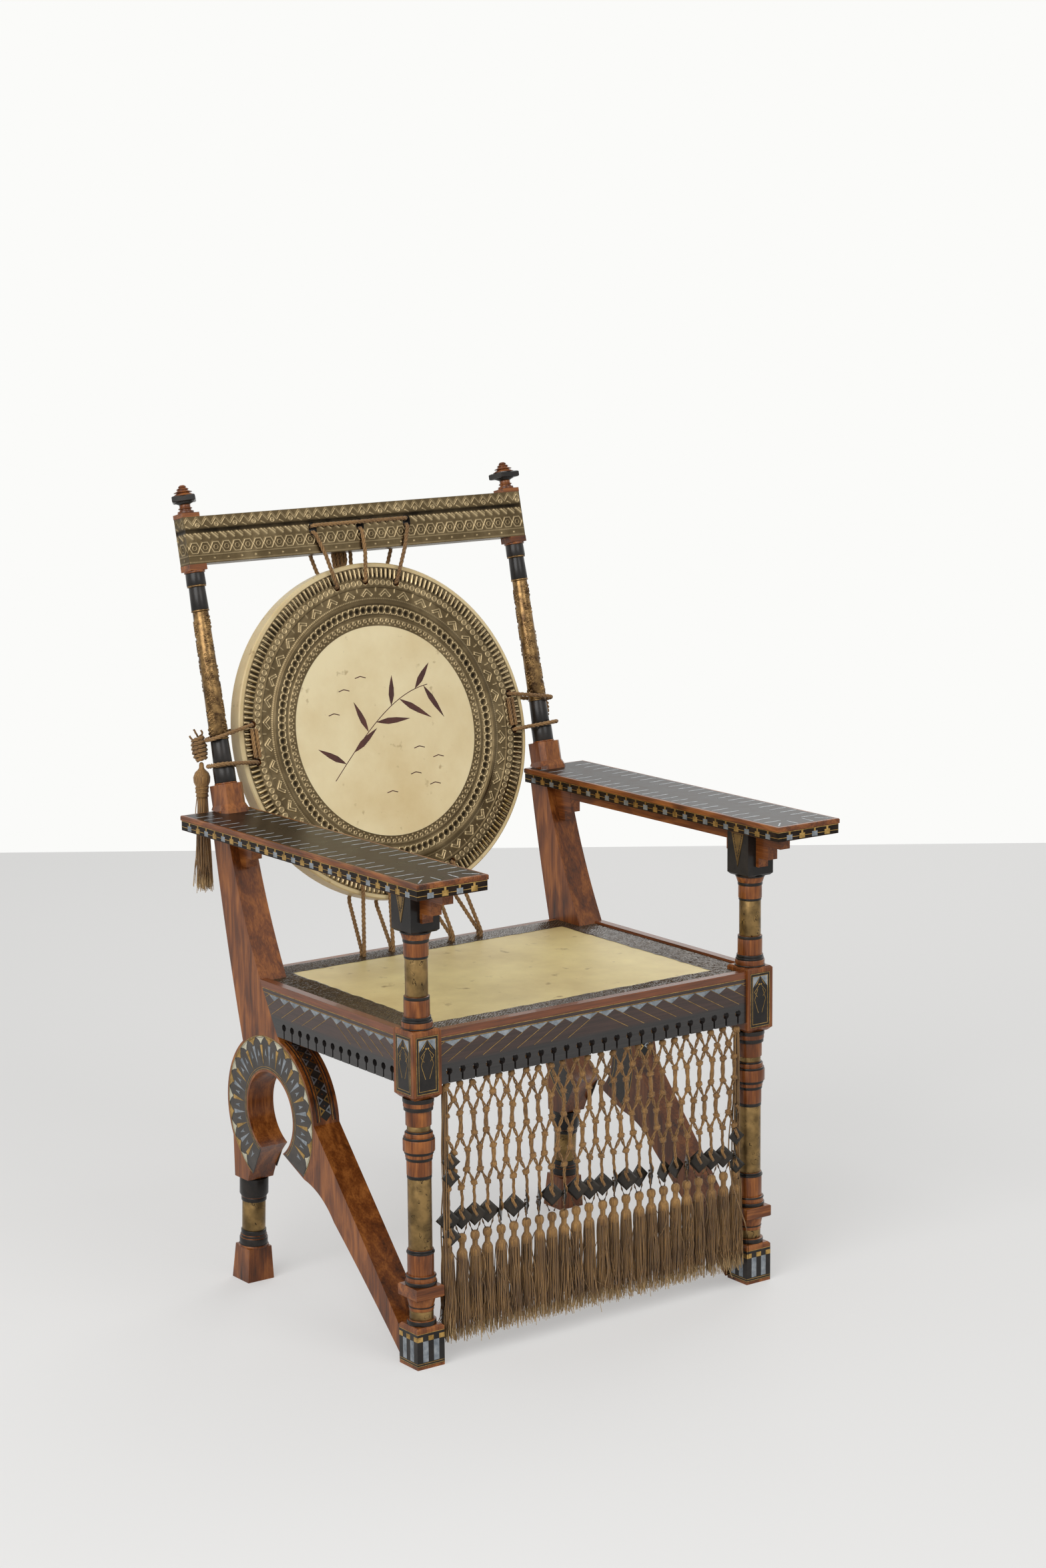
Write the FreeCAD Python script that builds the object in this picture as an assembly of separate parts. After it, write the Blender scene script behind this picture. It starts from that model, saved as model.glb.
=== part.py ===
"""Armchair in walnut with inlay, a round drum-like back slung on ropes between two raked posts.

All lengths are in millimetres. X runs across the seat, -Y is the front, +Z is up.
The pieces are drawn with the front posts at front_y, and each is moved on export so that
the middle of the footprint lies on the origin and the feet stand at zero height.
"""

import FreeCAD
import Part
import math
import os

os.makedirs("parts", exist_ok=True)

Vector = FreeCAD.Vector
ORIGIN = Vector(0, 0, 0)
ACROSS = Vector(1, 0, 0)
BACKWARD = Vector(0, 1, 0)
UPWARD = Vector(0, 0, 1)

# Overall driving sizes: half the distance between the side frames, and where the front posts stand
side_x = 270.0
front_y = -166.6
side_thickness = 41.0
side_run = 450.6
fit = 0.1
seat_gap = 0.3
overrun = 2.0
large = 2000.0
turned_sides = 24

# Brass sleeves round the turnings
sleeve_wall = 1.2

# Front foot
front_post_offset = 4.5
front_x = side_x + front_post_offset
foot_width = 42.0
foot_height = 55.3
foot_bevel = 2.5
frame_front_y = front_y + foot_width / 2
frame_back_y = frame_front_y + side_run

# Lower turning: each outline row is a share of the length and a share of the radius,
# and a row with no radius is the core inside a sleeve
lower_length = 302.3
lower_radius = 21.0
lower_outline_shares = (
    (0.000, 0.92),
    (0.026, 0.76),
    (0.062, 0.76),
    (0.121, 0.90),
    (0.174, 1.00),
    (0.220, 0.94),
    (0.226, 0.82),
    (0.333, 0.82),
    (0.333, None),
    (0.646, None),
    (0.646, 0.78),
    (0.726, 0.79),
    (0.766, 0.93),
    (0.819, 1.00),
    (0.876, 0.76),
    (0.945, 0.80),
    (1.000, 0.97),
)
lower_sleeve_radius = 15.6
collar_width = 43.0
collar_shares = (0.121, 0.174)
lower_top = foot_height + lower_length

# Seat block and arm turning
block_width = 44.0
seat_block_height = 91.1
seat_block_bevel = 5.0
block_top_bevel = 2.5
seat_block_top = lower_top + seat_block_height
arm_post_length = 126.3
arm_post_radius = 20.9
arm_post_outline_shares = (
    (0.000, 1.00),
    (0.070, 0.97),
    (0.125, 0.88),
    (0.140, 0.81),
    (0.331, 0.81),
    (0.331, None),
    (0.723, None),
    (0.723, 0.76),
    (0.889, 0.78),
    (1.000, 0.96),
)
arm_sleeve_radius = 14.8
arm_post_top = seat_block_top + arm_post_length
capital_height = 64.7
capital_bevel = 3.0
arm_underside = arm_post_top + capital_height

# Arms
arm_height = 20.3
arm_top = arm_underside + arm_height
arm_width = 108.1
arm_offset = 18.6
arm_x = side_x + arm_offset
arm_overhang = 105.1
arm_front_y = front_y - arm_overhang
arm_back_gap = 4.3
arm_back_y = frame_back_y - arm_back_gap
arm_moulding = 6.5
arm_inset = 1.2
arm_round = 2.0

# Corbels and the rail under the arm; the front corbel's steps are shares of its reach and drop
corbel_width = 16.5
front_corbel_reach = 50.9
front_corbel_drop = 50.2
front_corbel_shares = ((1.00, 0.37), (0.49, 0.37), (0.49, 0.74), (0.11, 0.74), (0.11, 1.00))
rear_step_reach = 13.1
rear_step_drop = 33.2
back_corbel_reach = 81.6
back_corbel_step_reach = 67.5
back_corbel_step_drop = 37.2
back_corbel_drop = 50.3
back_corbel_front = frame_back_y - back_corbel_reach
back_corbel_step = frame_back_y - back_corbel_step_reach
under_rail_width = 25.0
under_rail_depth = 18.2
under_rail_x = front_x

# Heights of the seat and of the aprons round it
seat_drop = 7.7
seat_top = seat_block_top - seat_drop
apron_rise = 4.0
apron_top = seat_top + apron_rise
apron_height = 71.5
apron_bottom = apron_top - apron_height

# Side frame: plank, ring and strut cut from one board, as shares of its run and of the arm height
ring_setback = 134.0
ring_y = frame_back_y - ring_setback
ring_gap = 2.5
ring_radius = 111.0
ring_z = apron_bottom - ring_gap - ring_radius
hole_radius = 58.0
plank_top_front_share = 0.913
plank_front_shares = (0.809, 0.793)
plank_back_shares = (0.935, 0.777)
plank_front_angle = 105.0
plank_back_angle = 53.0
leg_back_angle = -27.6
leg_cusp_angle = -66.0
horn_cusp_angle = -122.0
horn_angle = -139.3
strut_top_angle = 176.0
leg_setback = 37.0
leg_width = 34.0
leg_back_y = frame_back_y - leg_setback
leg_front_y = leg_back_y - leg_width
leg_trim = 0.5
leg_bottom = ring_z - ring_radius + leg_trim
leg_curve_shares = (0.805, 0.283)
strut_bend_shares = (0.426, 0.271)
strut_knee_shares = (0.356, 0.229)
strut_curve_shares = (0.251, 0.166)
strut_upper_end = 39.0
strut_lower_end = 3.0

# Inlaid crescent round the ring, drawn in from the ring's two edges
inlay_depth = 1.5
inlay_margin = 3.0
inlay_inner = hole_radius + inlay_margin
inlay_outer = ring_radius - inlay_margin
inlay_border = 2.0

# Back leg: turned, leaning slightly, on a flared foot
back_leg_lean = 8.7
back_leg_y = (leg_front_y + leg_back_y) / 2
back_foot_y = back_leg_y + back_leg_lean
back_foot_width = 41.8
back_foot_top_width = 36.0
back_foot_height = 48.6
back_leg_length = leg_bottom - back_foot_height
back_leg_radius = 21.5
back_leg_outline_shares = (
    (0.000, 1.00),
    (0.030, 0.93),
    (0.127, 0.91),
    (0.239, 0.81),
    (0.239, None),
    (0.662, None),
    (0.662, 0.82),
    (0.722, 0.82),
    (0.759, 0.93),
    (1.030, 0.93),
)
back_sleeve_radius = 16.2

# Seat and aprons
apron_thickness = 12.0
apron_proud = 18.4
front_apron_y = front_y - apron_proud
side_apron_proud = 21.0
side_apron_x = side_x + side_apron_proud
keyhole_radius = 5.0
keyhole_rise = 15.5
keyhole_z = apron_bottom + keyhole_rise
keyhole_slit = 2.6
keyhole_sides = 8
front_keyholes = 24
front_keyhole_margin = 14.0
front_apron_reach = front_x - block_width / 2
front_keyhole_pitch = 2 * (front_apron_reach - front_keyhole_margin) / (front_keyholes - 1)
side_keyholes = 14
side_keyhole_pitch = 20.1
side_keyhole_lead = 12.2
side_keyhole_front_y = front_y + block_width / 2 + side_keyhole_lead
board_thickness = 20.0
cover_thickness = 2.5
border_width = 28.6
side_border_width = 39.0
back_border_width = 49.0
seat_back_setback = 51.0
seat_back_y = frame_back_y - seat_back_setback
panel_half_width = side_x - side_border_width
panel_front_y = front_y + border_width
panel_back_y = seat_back_y - back_border_width
back_rail_height = 49.0
plank_allowance = 12.0

# Round back, hung between the posts over the seat
disc_side_gap = 30.0
disc_seat_gap = 64.9
disc_radius = side_x - disc_side_gap
disc_front = 3.5
disc_thickness = 25.0
rim_width = 15.0
plate_border = 8.5
plate_width = 66.5
disc_body_radius = disc_radius - rim_width
disc_plate_radius = disc_body_radius - plate_border
disc_vellum_radius = disc_plate_radius - plate_width
disc_recess = 1.6
disc_ridge_height = 1.4
disc_ridge_shares = (0.34, 0.56, 0.83)
rope_hole_radius = 5.25
rope_hole_sides = 10
top_hole_inset = 26.0
top_hole_angles = (-13.1, 0.0, 13.9)
side_hole_inset = 22.5
side_hole_high_share = 0.129
side_hole_low_share = -0.090
bottom_hole_inset = 28.0
bottom_hole_shares = (-0.321, -0.146, 0.146, 0.321)

# Upper back posts, raked backwards and as long as the round back needs
rake = 13.6
post_setback = 13.4
post_foot_y = frame_back_y - post_setback
post_block_width = 38.0
post_block_flare = 3.0
post_block_flare_height = 8.0
post_block_corner = 7.0
post_block_length = 36.0
post_radius = 17.0
post_outline_shares = (
    (0.000, 0.888),
    (0.080, 0.888),
    (0.084, 0.782),
    (0.209, 0.724),
    (0.209, None),
    (0.808, None),
    (0.808, 0.724),
    (0.927, 0.659),
    (0.935, 0.800),
    (1.000, 0.776),
)
copper_radius_low = 12.6
copper_radius_high = 11.0

# Top rail
rail_overhang = 13.0
rail_half_length = side_x + rail_overhang
rail_depth = 26.0
rail_height = 65.3
rail_sheet = 1.0
rail_disc_gap = 18.0
rail_collar_height = 8.2
rail_collar_proud = 0.5
rail_collar_width = rail_depth + 2 * rail_collar_proud
rail_plate_height = 6.0
rail_hole_share = 0.279
rail_hole_rise_share = 0.534
rail_hole_width = 12.5
rail_hole_height = 19.0
rail_hole_x = rail_hole_share * rail_half_length

# Heights along the rake above the arm
disc_low = -(arm_top - seat_top - disc_seat_gap) / math.cos(math.radians(rake))
disc_rise = disc_low + disc_radius
rail_low = disc_rise + disc_radius + rail_disc_gap
rail_high = rail_low + rail_height
rail_hole_s = rail_low + rail_hole_rise_share * rail_height
post_length = rail_low - rail_collar_height - post_block_length

# Finials
finial_radius = 14.5
finial_length = 39.5
finial_outline_shares = (
    (0.000, 0.79),
    (0.127, 0.55),
    (0.165, 0.66),
    (0.200, 0.53),
    (0.330, 0.53),
    (0.400, 0.97),
    (0.734, 0.93),
    (0.740, 0.66),
    (0.861, 0.62),
    (0.870, 0.34),
    (1.000, 0.26),
)
finial_cap_shares = (0.405, 0.620)
finial_cap_width = 32.0
cap_reach = finial_cap_width / 2
left_cap_turn = 31.5
right_cap_turn = 0.0

# Ropes that sling the back
rope_radius = 3.1
rope_sides = 6
rope_bend_steps = 2
rope_bend_share = 0.45
rope_gap = 0.5
rope_bend = 6.2
rope_wide_bend = 18.6
rope_lead_bend = 12.4
rope_lead = 9.3
rope_lift = 4.4
seat_hole_shares = (-0.431, -0.221, 0.221, 0.431)
seat_hole_setback = 28.0
seat_hole_y = seat_back_y - seat_hole_setback
seat_hole_width = 8.4
seat_hole_length = 15.0
rope_pair = 3.4
rope_knot_radius = 7.5
rope_knot_drop = 12.0
side_wrap_high_rise = 21.0
side_wrap_low_rise = -19.0
wrap_radius_high = 17.2
wrap_radius_low = 19.4
hank_width = 13.0
hank_turn_gap = 6.5
hank_top = 22.0
hank_bottom = 62.0
hank_x = -18.0
rope_level_share = 0.9

# Knots and hanging tassels behind the posts
knot_sides = 10
knot_radius = 11.0
knot_end_radius = 8.0
knot_low = 71.0
knot_length = 37.0
knot_out = 21.05
tassel_ball = 3.5
tassel_neck = 2.6
tassel_neck_length = 5.8
tassel_head_drop = 20.0
tassel_radius = 12.5
tassel_skirt_radius = 11.0
tassel_wrap = 30.0
left_tassel_length = 178.0
right_tassel_length = 160.0

# Knotted fringe: how far each row of knots lies below the one before, the first below the apron
net_setback = 7.0
net_y = front_apron_y + net_setback
net_thickness = 4.4
net_cord = 4.6
net_border = 2.5
net_knot = 4.5
net_point = 3.0
net_hang = 5.9
upper_diamond = 21.4
lower_diamond = 18.4
long_bar = 29.4
upper_hexagon = 20.7
short_bar = 26.2
lower_hexagon = 20.9
square_drop = 36.6
head_drop = 62.8
head_length = 17.1
skirt_length = 127.2
row_a = apron_bottom - net_hang
row_b = row_a - upper_diamond
row_c = row_b - lower_diamond
row_d = row_c - long_bar
row_e = row_d - upper_hexagon
row_f = row_e - short_bar
row_g = row_f - lower_hexagon
square_z = row_g - square_drop
head_top = row_g - head_drop
head_bottom = head_top - head_length
tassel_bottom = head_bottom - skirt_length
square_half = 14.0
square_thickness = 2.0
fringe_head_radius = 6.5
fringe_skirt_radius = 9.3
fringe_sides = 6
hanger_width = 2.0
hanger_depth = 5.0


def mirrored(shape):
    """The same piece on the other side of the chair."""
    return shape.mirror(ORIGIN, ACROSS)


def solid_from(faces):
    """Closed solid from its faces, turned so that its volume is positive."""
    shell = Part.Shell(faces)
    shell.sewShape()
    solid = Part.Solid(shell)
    if solid.Volume < 0:
        solid.reverse()
    return solid


def stacked(sections):
    """Solid with flat sides through a row of like polygons, bottom first."""
    faces = []
    for points in (sections[0], sections[-1]):
        faces.append(Part.Face(Part.makePolygon(points + [points[0]])))
    for lower, upper in zip(sections, sections[1:]):
        for i in range(len(lower)):
            j = (i + 1) % len(lower)
            corners = [lower[i], lower[j], upper[j], upper[i], lower[i]]
            faces.append(Part.Face(Part.makePolygon(corners)))
    return solid_from(faces)


def octagon(x, y, z, half, corner):
    """Square of the given half width with its corners cut off."""
    near = half - corner
    signs = ((1, -near, -half), (1, near, -half), (1, half, -near), (1, half, near))
    front = [(dx, dy) for one, dx, dy in signs]
    back = [(-dx, -dy) for dx, dy in front]
    return [Vector(x + dx, y + dy, z) for dx, dy in front + back]


def box(x_low, x_high, y_low, y_high, z_low, z_high):
    """Plain block between two corners."""
    corner = Vector(x_low, y_low, z_low)
    return Part.makeBox(x_high - x_low, y_high - y_low, z_high - z_low, corner)


def post_block(x, y, z_low, z_high, width, bottom_bevel, top_bevel):
    """Square block centred on a post, with bevelled ends."""
    half = width / 2
    solid = box(x - half, x + half, y - half, y + half, z_low, z_high)
    for level, bevel in ((z_low, bottom_bevel), (z_high, top_bevel)):
        if bevel > 0:
            rim = [e for e in solid.Edges if abs(e.CenterOfMass.z - level) < fit / 2]
            solid = solid.makeChamfer(bevel, rim)
    return solid


def ring_of(x, y, z, radius, sides):
    """Corners of a level polygon."""
    corners = []
    for i in range(sides):
        turn = 2 * math.pi * i / sides
        corners.append(Vector(x + radius * math.cos(turn), y + radius * math.sin(turn), z))
    return corners


def faceted(rows, sides):
    """Solid with flat sides through level polygons given as (radius, height), bottom first."""
    return stacked([ring_of(0, 0, height, radius, sides) for radius, height in rows])


def turned(length, radius, outline_shares, core=None):
    """Turned piece standing on the origin; a row with no radius is the core inside a sleeve."""
    rows = []
    for share, radius_share in outline_shares:
        reach = core(share) if radius_share is None else radius_share * radius
        rows.append((reach, share * length))
    return faceted(rows, turned_sides)


def sleeve(low, high, low_radius, high_radius):
    """Thin metal tube between two heights, given its outer radii."""
    outer = faceted(((low_radius, low), (high_radius, high)), turned_sides)
    inner = faceted(((low_radius - sleeve_wall, low), (high_radius - sleeve_wall, high)), turned_sides)
    return outer.cut(inner)


def straight_core(sleeve_radius):
    """Core radius inside a sleeve that does not taper, at any share of the length."""
    return lambda share: sleeve_radius - sleeve_wall - fit


def sleeved_stretch(outline_shares):
    """Shares of the length where an outline's sleeve begins and ends."""
    return [share for share, radius_share in outline_shares if radius_share is None]


def placed(shape, x, y, z):
    """Copy of a piece moved to a place."""
    copy = shape.copy()
    copy.translate(Vector(x, y, z))
    return copy


def raked(shape, x=0.0):
    """Copy of a piece drawn on a post's axis, leaned back and set on the arm."""
    copy = shape.copy()
    copy.rotate(ORIGIN, ACROSS, -rake)
    copy.translate(Vector(x, post_foot_y, arm_top))
    return copy


def raked_point(x, s, d):
    """Point at height s along the rake and d in front of the posts' axis plane."""
    angle = math.radians(rake)
    y = post_foot_y + s * math.sin(angle) - d * math.cos(angle)
    z = arm_top + s * math.cos(angle) + d * math.sin(angle)
    return Vector(x, y, z)


def front_foot():
    """Square foot block under a front post."""
    return post_block(front_x, front_y, 0, foot_height, foot_width, 0, foot_bevel)


def front_post():
    """Turning between the foot and the seat, with one square collar."""
    core = straight_core(lower_sleeve_radius)
    post = turned(lower_length, lower_radius, lower_outline_shares, core)
    post = placed(post, front_x, front_y, foot_height)
    low, high = (foot_height + share * lower_length for share in collar_shares)
    half = collar_width / 2
    collar = box(front_x - half, front_x + half, front_y - half, front_y + half, low, high)
    return post.fuse(collar).removeSplitter()


def arm_post():
    """Turning between the seat block and the capital."""
    core = straight_core(arm_sleeve_radius)
    post = turned(arm_post_length, arm_post_radius, arm_post_outline_shares, core)
    return placed(post, front_x, front_y, seat_block_top)


def brass_sleeves():
    """Brass tubes on the necks of the front turnings and of the back leg."""
    low, high = sleeved_stretch(lower_outline_shares)
    lower = sleeve(low * lower_length, high * lower_length, lower_sleeve_radius, lower_sleeve_radius)
    low, high = sleeved_stretch(arm_post_outline_shares)
    upper = sleeve(low * arm_post_length, high * arm_post_length, arm_sleeve_radius, arm_sleeve_radius)
    low, high = sleeved_stretch(back_leg_outline_shares)
    back = sleeve(low * back_leg_length, high * back_leg_length, back_sleeve_radius, back_sleeve_radius)
    return Part.makeCompound([
        placed(lower, front_x, front_y, foot_height),
        placed(upper, front_x, front_y, seat_block_top),
        leaning_leg(placed(back, 0, 0, back_foot_height)),
    ])


def front_corbel():
    """Stepped bracket in front of the capital."""
    face = front_y - block_width / 2
    rows = [(0, 0), (1, 0)] + list(front_corbel_shares) + [(0, 1)]
    points = []
    for out, down in rows:
        y = face - out * front_corbel_reach
        points.append(Vector(front_x - corbel_width / 2, y, arm_underside - down * front_corbel_drop))
    return Part.Face(Part.makePolygon(points + [points[0]])).extrude(ACROSS * corbel_width)


def rear_step():
    """Small block behind the capital, where the rail under the arm starts."""
    face = front_y + block_width / 2
    half = under_rail_width / 2
    low = arm_underside - rear_step_drop
    return box(front_x - half, front_x + half, face, face + rear_step_reach, low, arm_underside)


def side_point(y_share, z_share):
    """Point of the side frame from shares of its run and of the height under the arm."""
    return (frame_front_y + y_share * side_run, z_share * arm_underside)


def ring_point(radius, angle):
    """Point on a circle about the ring's centre."""
    turn = math.radians(angle)
    return (ring_y + radius * math.cos(turn), ring_z + radius * math.sin(turn))


def at_side(point, x=side_x - side_thickness / 2):
    """Point of the side frame's outline on its inner face."""
    return Vector(x, point[0], point[1])


def line_edge(start, end, x=side_x - side_thickness / 2):
    """Straight stretch of an outline on the side frame."""
    return Part.LineSegment(at_side(start, x), at_side(end, x)).toShape()


def arc_edge(start, middle, end, x=side_x - side_thickness / 2):
    """Curved stretch of an outline on the side frame."""
    return Part.Arc(at_side(start, x), at_side(middle, x), at_side(end, x)).toShape()


def ring_edge(radius, start, end, x=side_x - side_thickness / 2):
    """Stretch of a circle about the ring's centre, between two angles."""
    angles = (start, (start + end) / 2, end)
    return arc_edge(*(ring_point(radius, angle) for angle in angles), x)


def plank_front(z):
    """Place of the plank's front edge at a height, on the arc that it follows."""
    top = side_point(plank_top_front_share, 1)
    middle = side_point(*plank_front_shares)
    end = ring_point(ring_radius, plank_front_angle)
    arc = Part.Arc(at_side(top, 0), at_side(middle, 0), at_side(end, 0)).toShape()
    probe = Part.makeLine(Vector(0, -large, z), Vector(0, large, z))
    return arc.distToShape(probe)[1][0][0].y


def side_frame():
    """Plank, ring and strut in one board, with the ring open at its foot and a pocket for inlay."""
    top_front = side_point(plank_top_front_share, 1)
    top_back = side_point(1, 1)
    leg_cusp = ring_point(hole_radius, leg_cusp_angle)
    horn_cusp = ring_point(hole_radius, horn_cusp_angle)
    horn = ring_point(ring_radius, horn_angle)
    leg_back = ring_point(ring_radius, leg_back_angle)
    knee = side_point(*strut_knee_shares)
    strut_top = ring_point(ring_radius, strut_top_angle)
    edges = [
        arc_edge(top_front, side_point(*plank_front_shares), ring_point(ring_radius, plank_front_angle)),
        ring_edge(ring_radius, plank_front_angle, strut_top_angle),
        line_edge(strut_top, (frame_front_y, strut_upper_end)),
        line_edge((frame_front_y, strut_upper_end), (frame_front_y, strut_lower_end)),
        arc_edge((frame_front_y, strut_lower_end), side_point(*strut_curve_shares), knee),
        arc_edge(knee, side_point(*strut_bend_shares), horn),
        line_edge(horn, horn_cusp),
        ring_edge(hole_radius, horn_cusp_angle + 360, leg_cusp_angle),
        arc_edge(leg_cusp, side_point(*leg_curve_shares), (leg_front_y, leg_bottom)),
        line_edge((leg_front_y, leg_bottom), (leg_back_y, leg_bottom)),
        line_edge((leg_back_y, leg_bottom), leg_back),
        ring_edge(ring_radius, leg_back_angle, plank_back_angle),
        arc_edge(ring_point(ring_radius, plank_back_angle), side_point(*plank_back_shares), top_back),
        line_edge(top_back, top_front),
    ]
    board = Part.Face(Part.Wire(edges)).extrude(ACROSS * side_thickness)
    outer = side_x + side_thickness / 2
    pocket = Part.Face(inlay_wire(outer - inlay_depth, 0)).extrude(ACROSS * (inlay_depth + overrun))
    return board.cut(pocket)


def inlay_wire(x, clearance):
    """Crescent outline, drawn in by the clearance."""
    inner = inlay_inner + clearance
    outer = inlay_outer - clearance
    turn_in = math.degrees((inlay_border + clearance) / inner)
    turn_out = math.degrees((inlay_border + clearance) / outer)
    leg_in = leg_cusp_angle + turn_in
    leg_out = leg_cusp_angle + turn_out + turn_in
    horn_in = horn_cusp_angle + 360 - turn_in
    horn_out = horn_angle + 360 - turn_out
    edges = [
        ring_edge(outer, leg_out, horn_out, x),
        line_edge(ring_point(outer, horn_out), ring_point(inner, horn_in), x),
        ring_edge(inner, horn_in, leg_in, x),
        line_edge(ring_point(inner, leg_in), ring_point(outer, leg_out), x),
    ]
    return Part.Wire(edges)


def side_inlay():
    """Inlaid crescent that fills the pocket flush with the board."""
    outer = side_x + side_thickness / 2
    return Part.Face(inlay_wire(outer - inlay_depth, fit)).extrude(ACROSS * inlay_depth)


def back_corbel():
    """Stepped bracket between the plank and the arm."""
    x = side_x - corbel_width / 2
    step_z = arm_underside - back_corbel_step_drop
    low_z = arm_underside - back_corbel_drop
    rows = (
        (back_corbel_front, arm_underside),
        (back_corbel_front, step_z),
        (back_corbel_step, step_z),
        (back_corbel_step, low_z),
        (plank_front(low_z) - fit, low_z),
        (plank_front(arm_underside) - fit, arm_underside),
    )
    points = [Vector(x, y, z) for y, z in rows]
    return Part.Face(Part.makePolygon(points + [points[0]])).extrude(ACROSS * corbel_width)


def arm_under_rail():
    """Rail under the arm from the capital to the back corbel."""
    start = front_y + block_width / 2 + rear_step_reach
    half = under_rail_width / 2
    low = arm_underside - under_rail_depth
    return box(under_rail_x - half, under_rail_x + half, start, back_corbel_front, low, arm_underside)


def arm():
    """Flat arm: a moulded top board over a band that is set in a little."""
    half = arm_width / 2
    split = arm_top - arm_moulding
    board = box(arm_x - half, arm_x + half, arm_front_y, arm_back_y, split, arm_top)
    rim = [e for e in board.Edges if abs(e.CenterOfMass.z - arm_top) < fit]
    board = board.makeFillet(arm_round, rim)
    inner = half - arm_inset
    band = box(
        arm_x - inner,
        arm_x + inner,
        arm_front_y + arm_inset,
        arm_back_y - arm_inset,
        arm_underside,
        split,
    )
    return board.fuse(band).removeSplitter()


def leaning_leg(shape):
    """Copy of a piece drawn on the back leg's axis, with its foot at zero height."""
    lean = math.degrees(math.atan2(back_foot_y - back_leg_y, leg_bottom))
    copy = shape.copy()
    copy.rotate(ORIGIN, ACROSS, lean)
    copy.translate(Vector(side_x, back_foot_y, 0))
    return copy


def back_leg():
    """Turned back leg, drawn a little long and cut level under the side frame."""
    core = straight_core(back_sleeve_radius)
    leg = turned(back_leg_length, back_leg_radius, back_leg_outline_shares, core)
    leg = leaning_leg(placed(leg, 0, 0, back_foot_height))
    return leg.common(box(-large, large, -large, large, 0, leg_bottom))


def back_foot():
    """Flared square foot, cut level where it stands on the floor."""
    half = back_foot_width / 2
    top_half = back_foot_top_width / 2
    sections = []
    for height, width in ((-overrun, half), (0, half), (back_foot_height, top_half)):
        corners = ((-1, -1), (1, -1), (1, 1), (-1, 1))
        sections.append([Vector(i * width, j * width, height) for i, j in corners])
    foot = leaning_leg(stacked(sections))
    return foot.common(box(-large, large, -large, large, 0, large))


def post_base_block():
    """Square block on the arm that carries the raked post, with a flared foot."""
    half = post_block_width / 2
    flared = half + post_block_flare
    low = -post_block_flare_height
    sections = [
        octagon(0, 0, low, flared, post_block_corner),
        octagon(0, 0, 0, flared, post_block_corner),
        octagon(0, 0, post_block_flare_height, half, post_block_corner),
        octagon(0, 0, post_block_length, half, post_block_corner),
    ]
    block = raked(stacked(sections), side_x)
    return block.common(box(-large, large, -large, large, arm_top, large))


def copper_core(share):
    """Radius of the post inside the tapering copper sleeve."""
    low, high = sleeved_stretch(post_outline_shares)
    along = (share - low) / (high - low)
    radius = copper_radius_low + along * (copper_radius_high - copper_radius_low)
    return radius - sleeve_wall - fit


def back_post():
    """Raked turning between the base block and the rail."""
    post = turned(post_length, post_radius, post_outline_shares, copper_core)
    return raked(placed(post, 0, 0, post_block_length), side_x)


def back_post_metal():
    """Tapering copper sleeve on the raked post."""
    low, high = sleeved_stretch(post_outline_shares)
    tube = sleeve(low * post_length, high * post_length, copper_radius_low, copper_radius_high)
    return raked(placed(tube, 0, 0, post_block_length), side_x)


def upright_slot(x, width, height, middle, depth):
    """Cutter for a round-ended slot through a raked board, lying along the depth."""
    radius = width / 2
    straight = height / 2 - radius
    corners = (
        Vector(x - radius, -depth, middle - straight),
        Vector(x - radius, -depth, middle + straight),
        Vector(x, -depth, middle + straight + radius),
        Vector(x + radius, -depth, middle + straight),
        Vector(x + radius, -depth, middle - straight),
        Vector(x, -depth, middle - straight - radius),
    )
    edges = [
        Part.LineSegment(corners[0], corners[1]).toShape(),
        Part.Arc(corners[1], corners[2], corners[3]).toShape(),
        Part.LineSegment(corners[3], corners[4]).toShape(),
        Part.Arc(corners[4], corners[5], corners[0]).toShape(),
    ]
    return Part.Face(Part.Wire(edges)).extrude(BACKWARD * (depth * 2))


def rail_cutters():
    """The three rope slots through the rail."""
    slots = []
    for x in (-rail_hole_x, 0, rail_hole_x):
        slots.append(upright_slot(x, rail_hole_width, rail_hole_height, rail_hole_s, rail_depth))
    return slots


def top_rail_core():
    """Wooden core of the top rail."""
    half = rail_depth / 2 - rail_sheet
    reach = rail_half_length - rail_sheet
    core = box(-reach, reach, -half, half, rail_low + rail_sheet, rail_high - rail_sheet)
    for slot in rail_cutters():
        core = core.cut(slot)
    return raked(core)


def top_rail_sheet():
    """Embossed metal sheet that wraps the rail all round."""
    half = rail_depth / 2
    outer = box(-rail_half_length, rail_half_length, -half, half, rail_low, rail_high)
    inner_half = half - rail_sheet
    reach = rail_half_length - rail_sheet
    inner = box(-reach, reach, -inner_half, inner_half, rail_low + rail_sheet, rail_high - rail_sheet)
    sheet = outer.cut(inner)
    for slot in rail_cutters():
        sheet = sheet.cut(slot)
    return raked(sheet)


def rail_collars():
    """Square plates under and over the rail where the posts meet it."""
    half = rail_collar_width / 2
    depth = rail_depth / 2
    pieces = []
    for x in (-side_x, side_x):
        pieces.append(box(x - half, x + half, -depth, depth, rail_low - rail_collar_height, rail_low))
        pieces.append(box(x - half, x + half, -depth, depth, rail_high, rail_high + rail_plate_height))
    return raked(Part.makeCompound(pieces))


def finial(x, turn):
    """Turned finial with a square cap near its top."""
    body = turned(finial_length, finial_radius, finial_outline_shares)
    low, high = (share * finial_length for share in finial_cap_shares)
    cap = box(-cap_reach, cap_reach, -cap_reach, cap_reach, low, high)
    cap.rotate(ORIGIN, UPWARD, turn)
    piece = body.fuse(cap).removeSplitter()
    return raked(placed(piece, 0, 0, rail_high + rail_plate_height), x)


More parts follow.
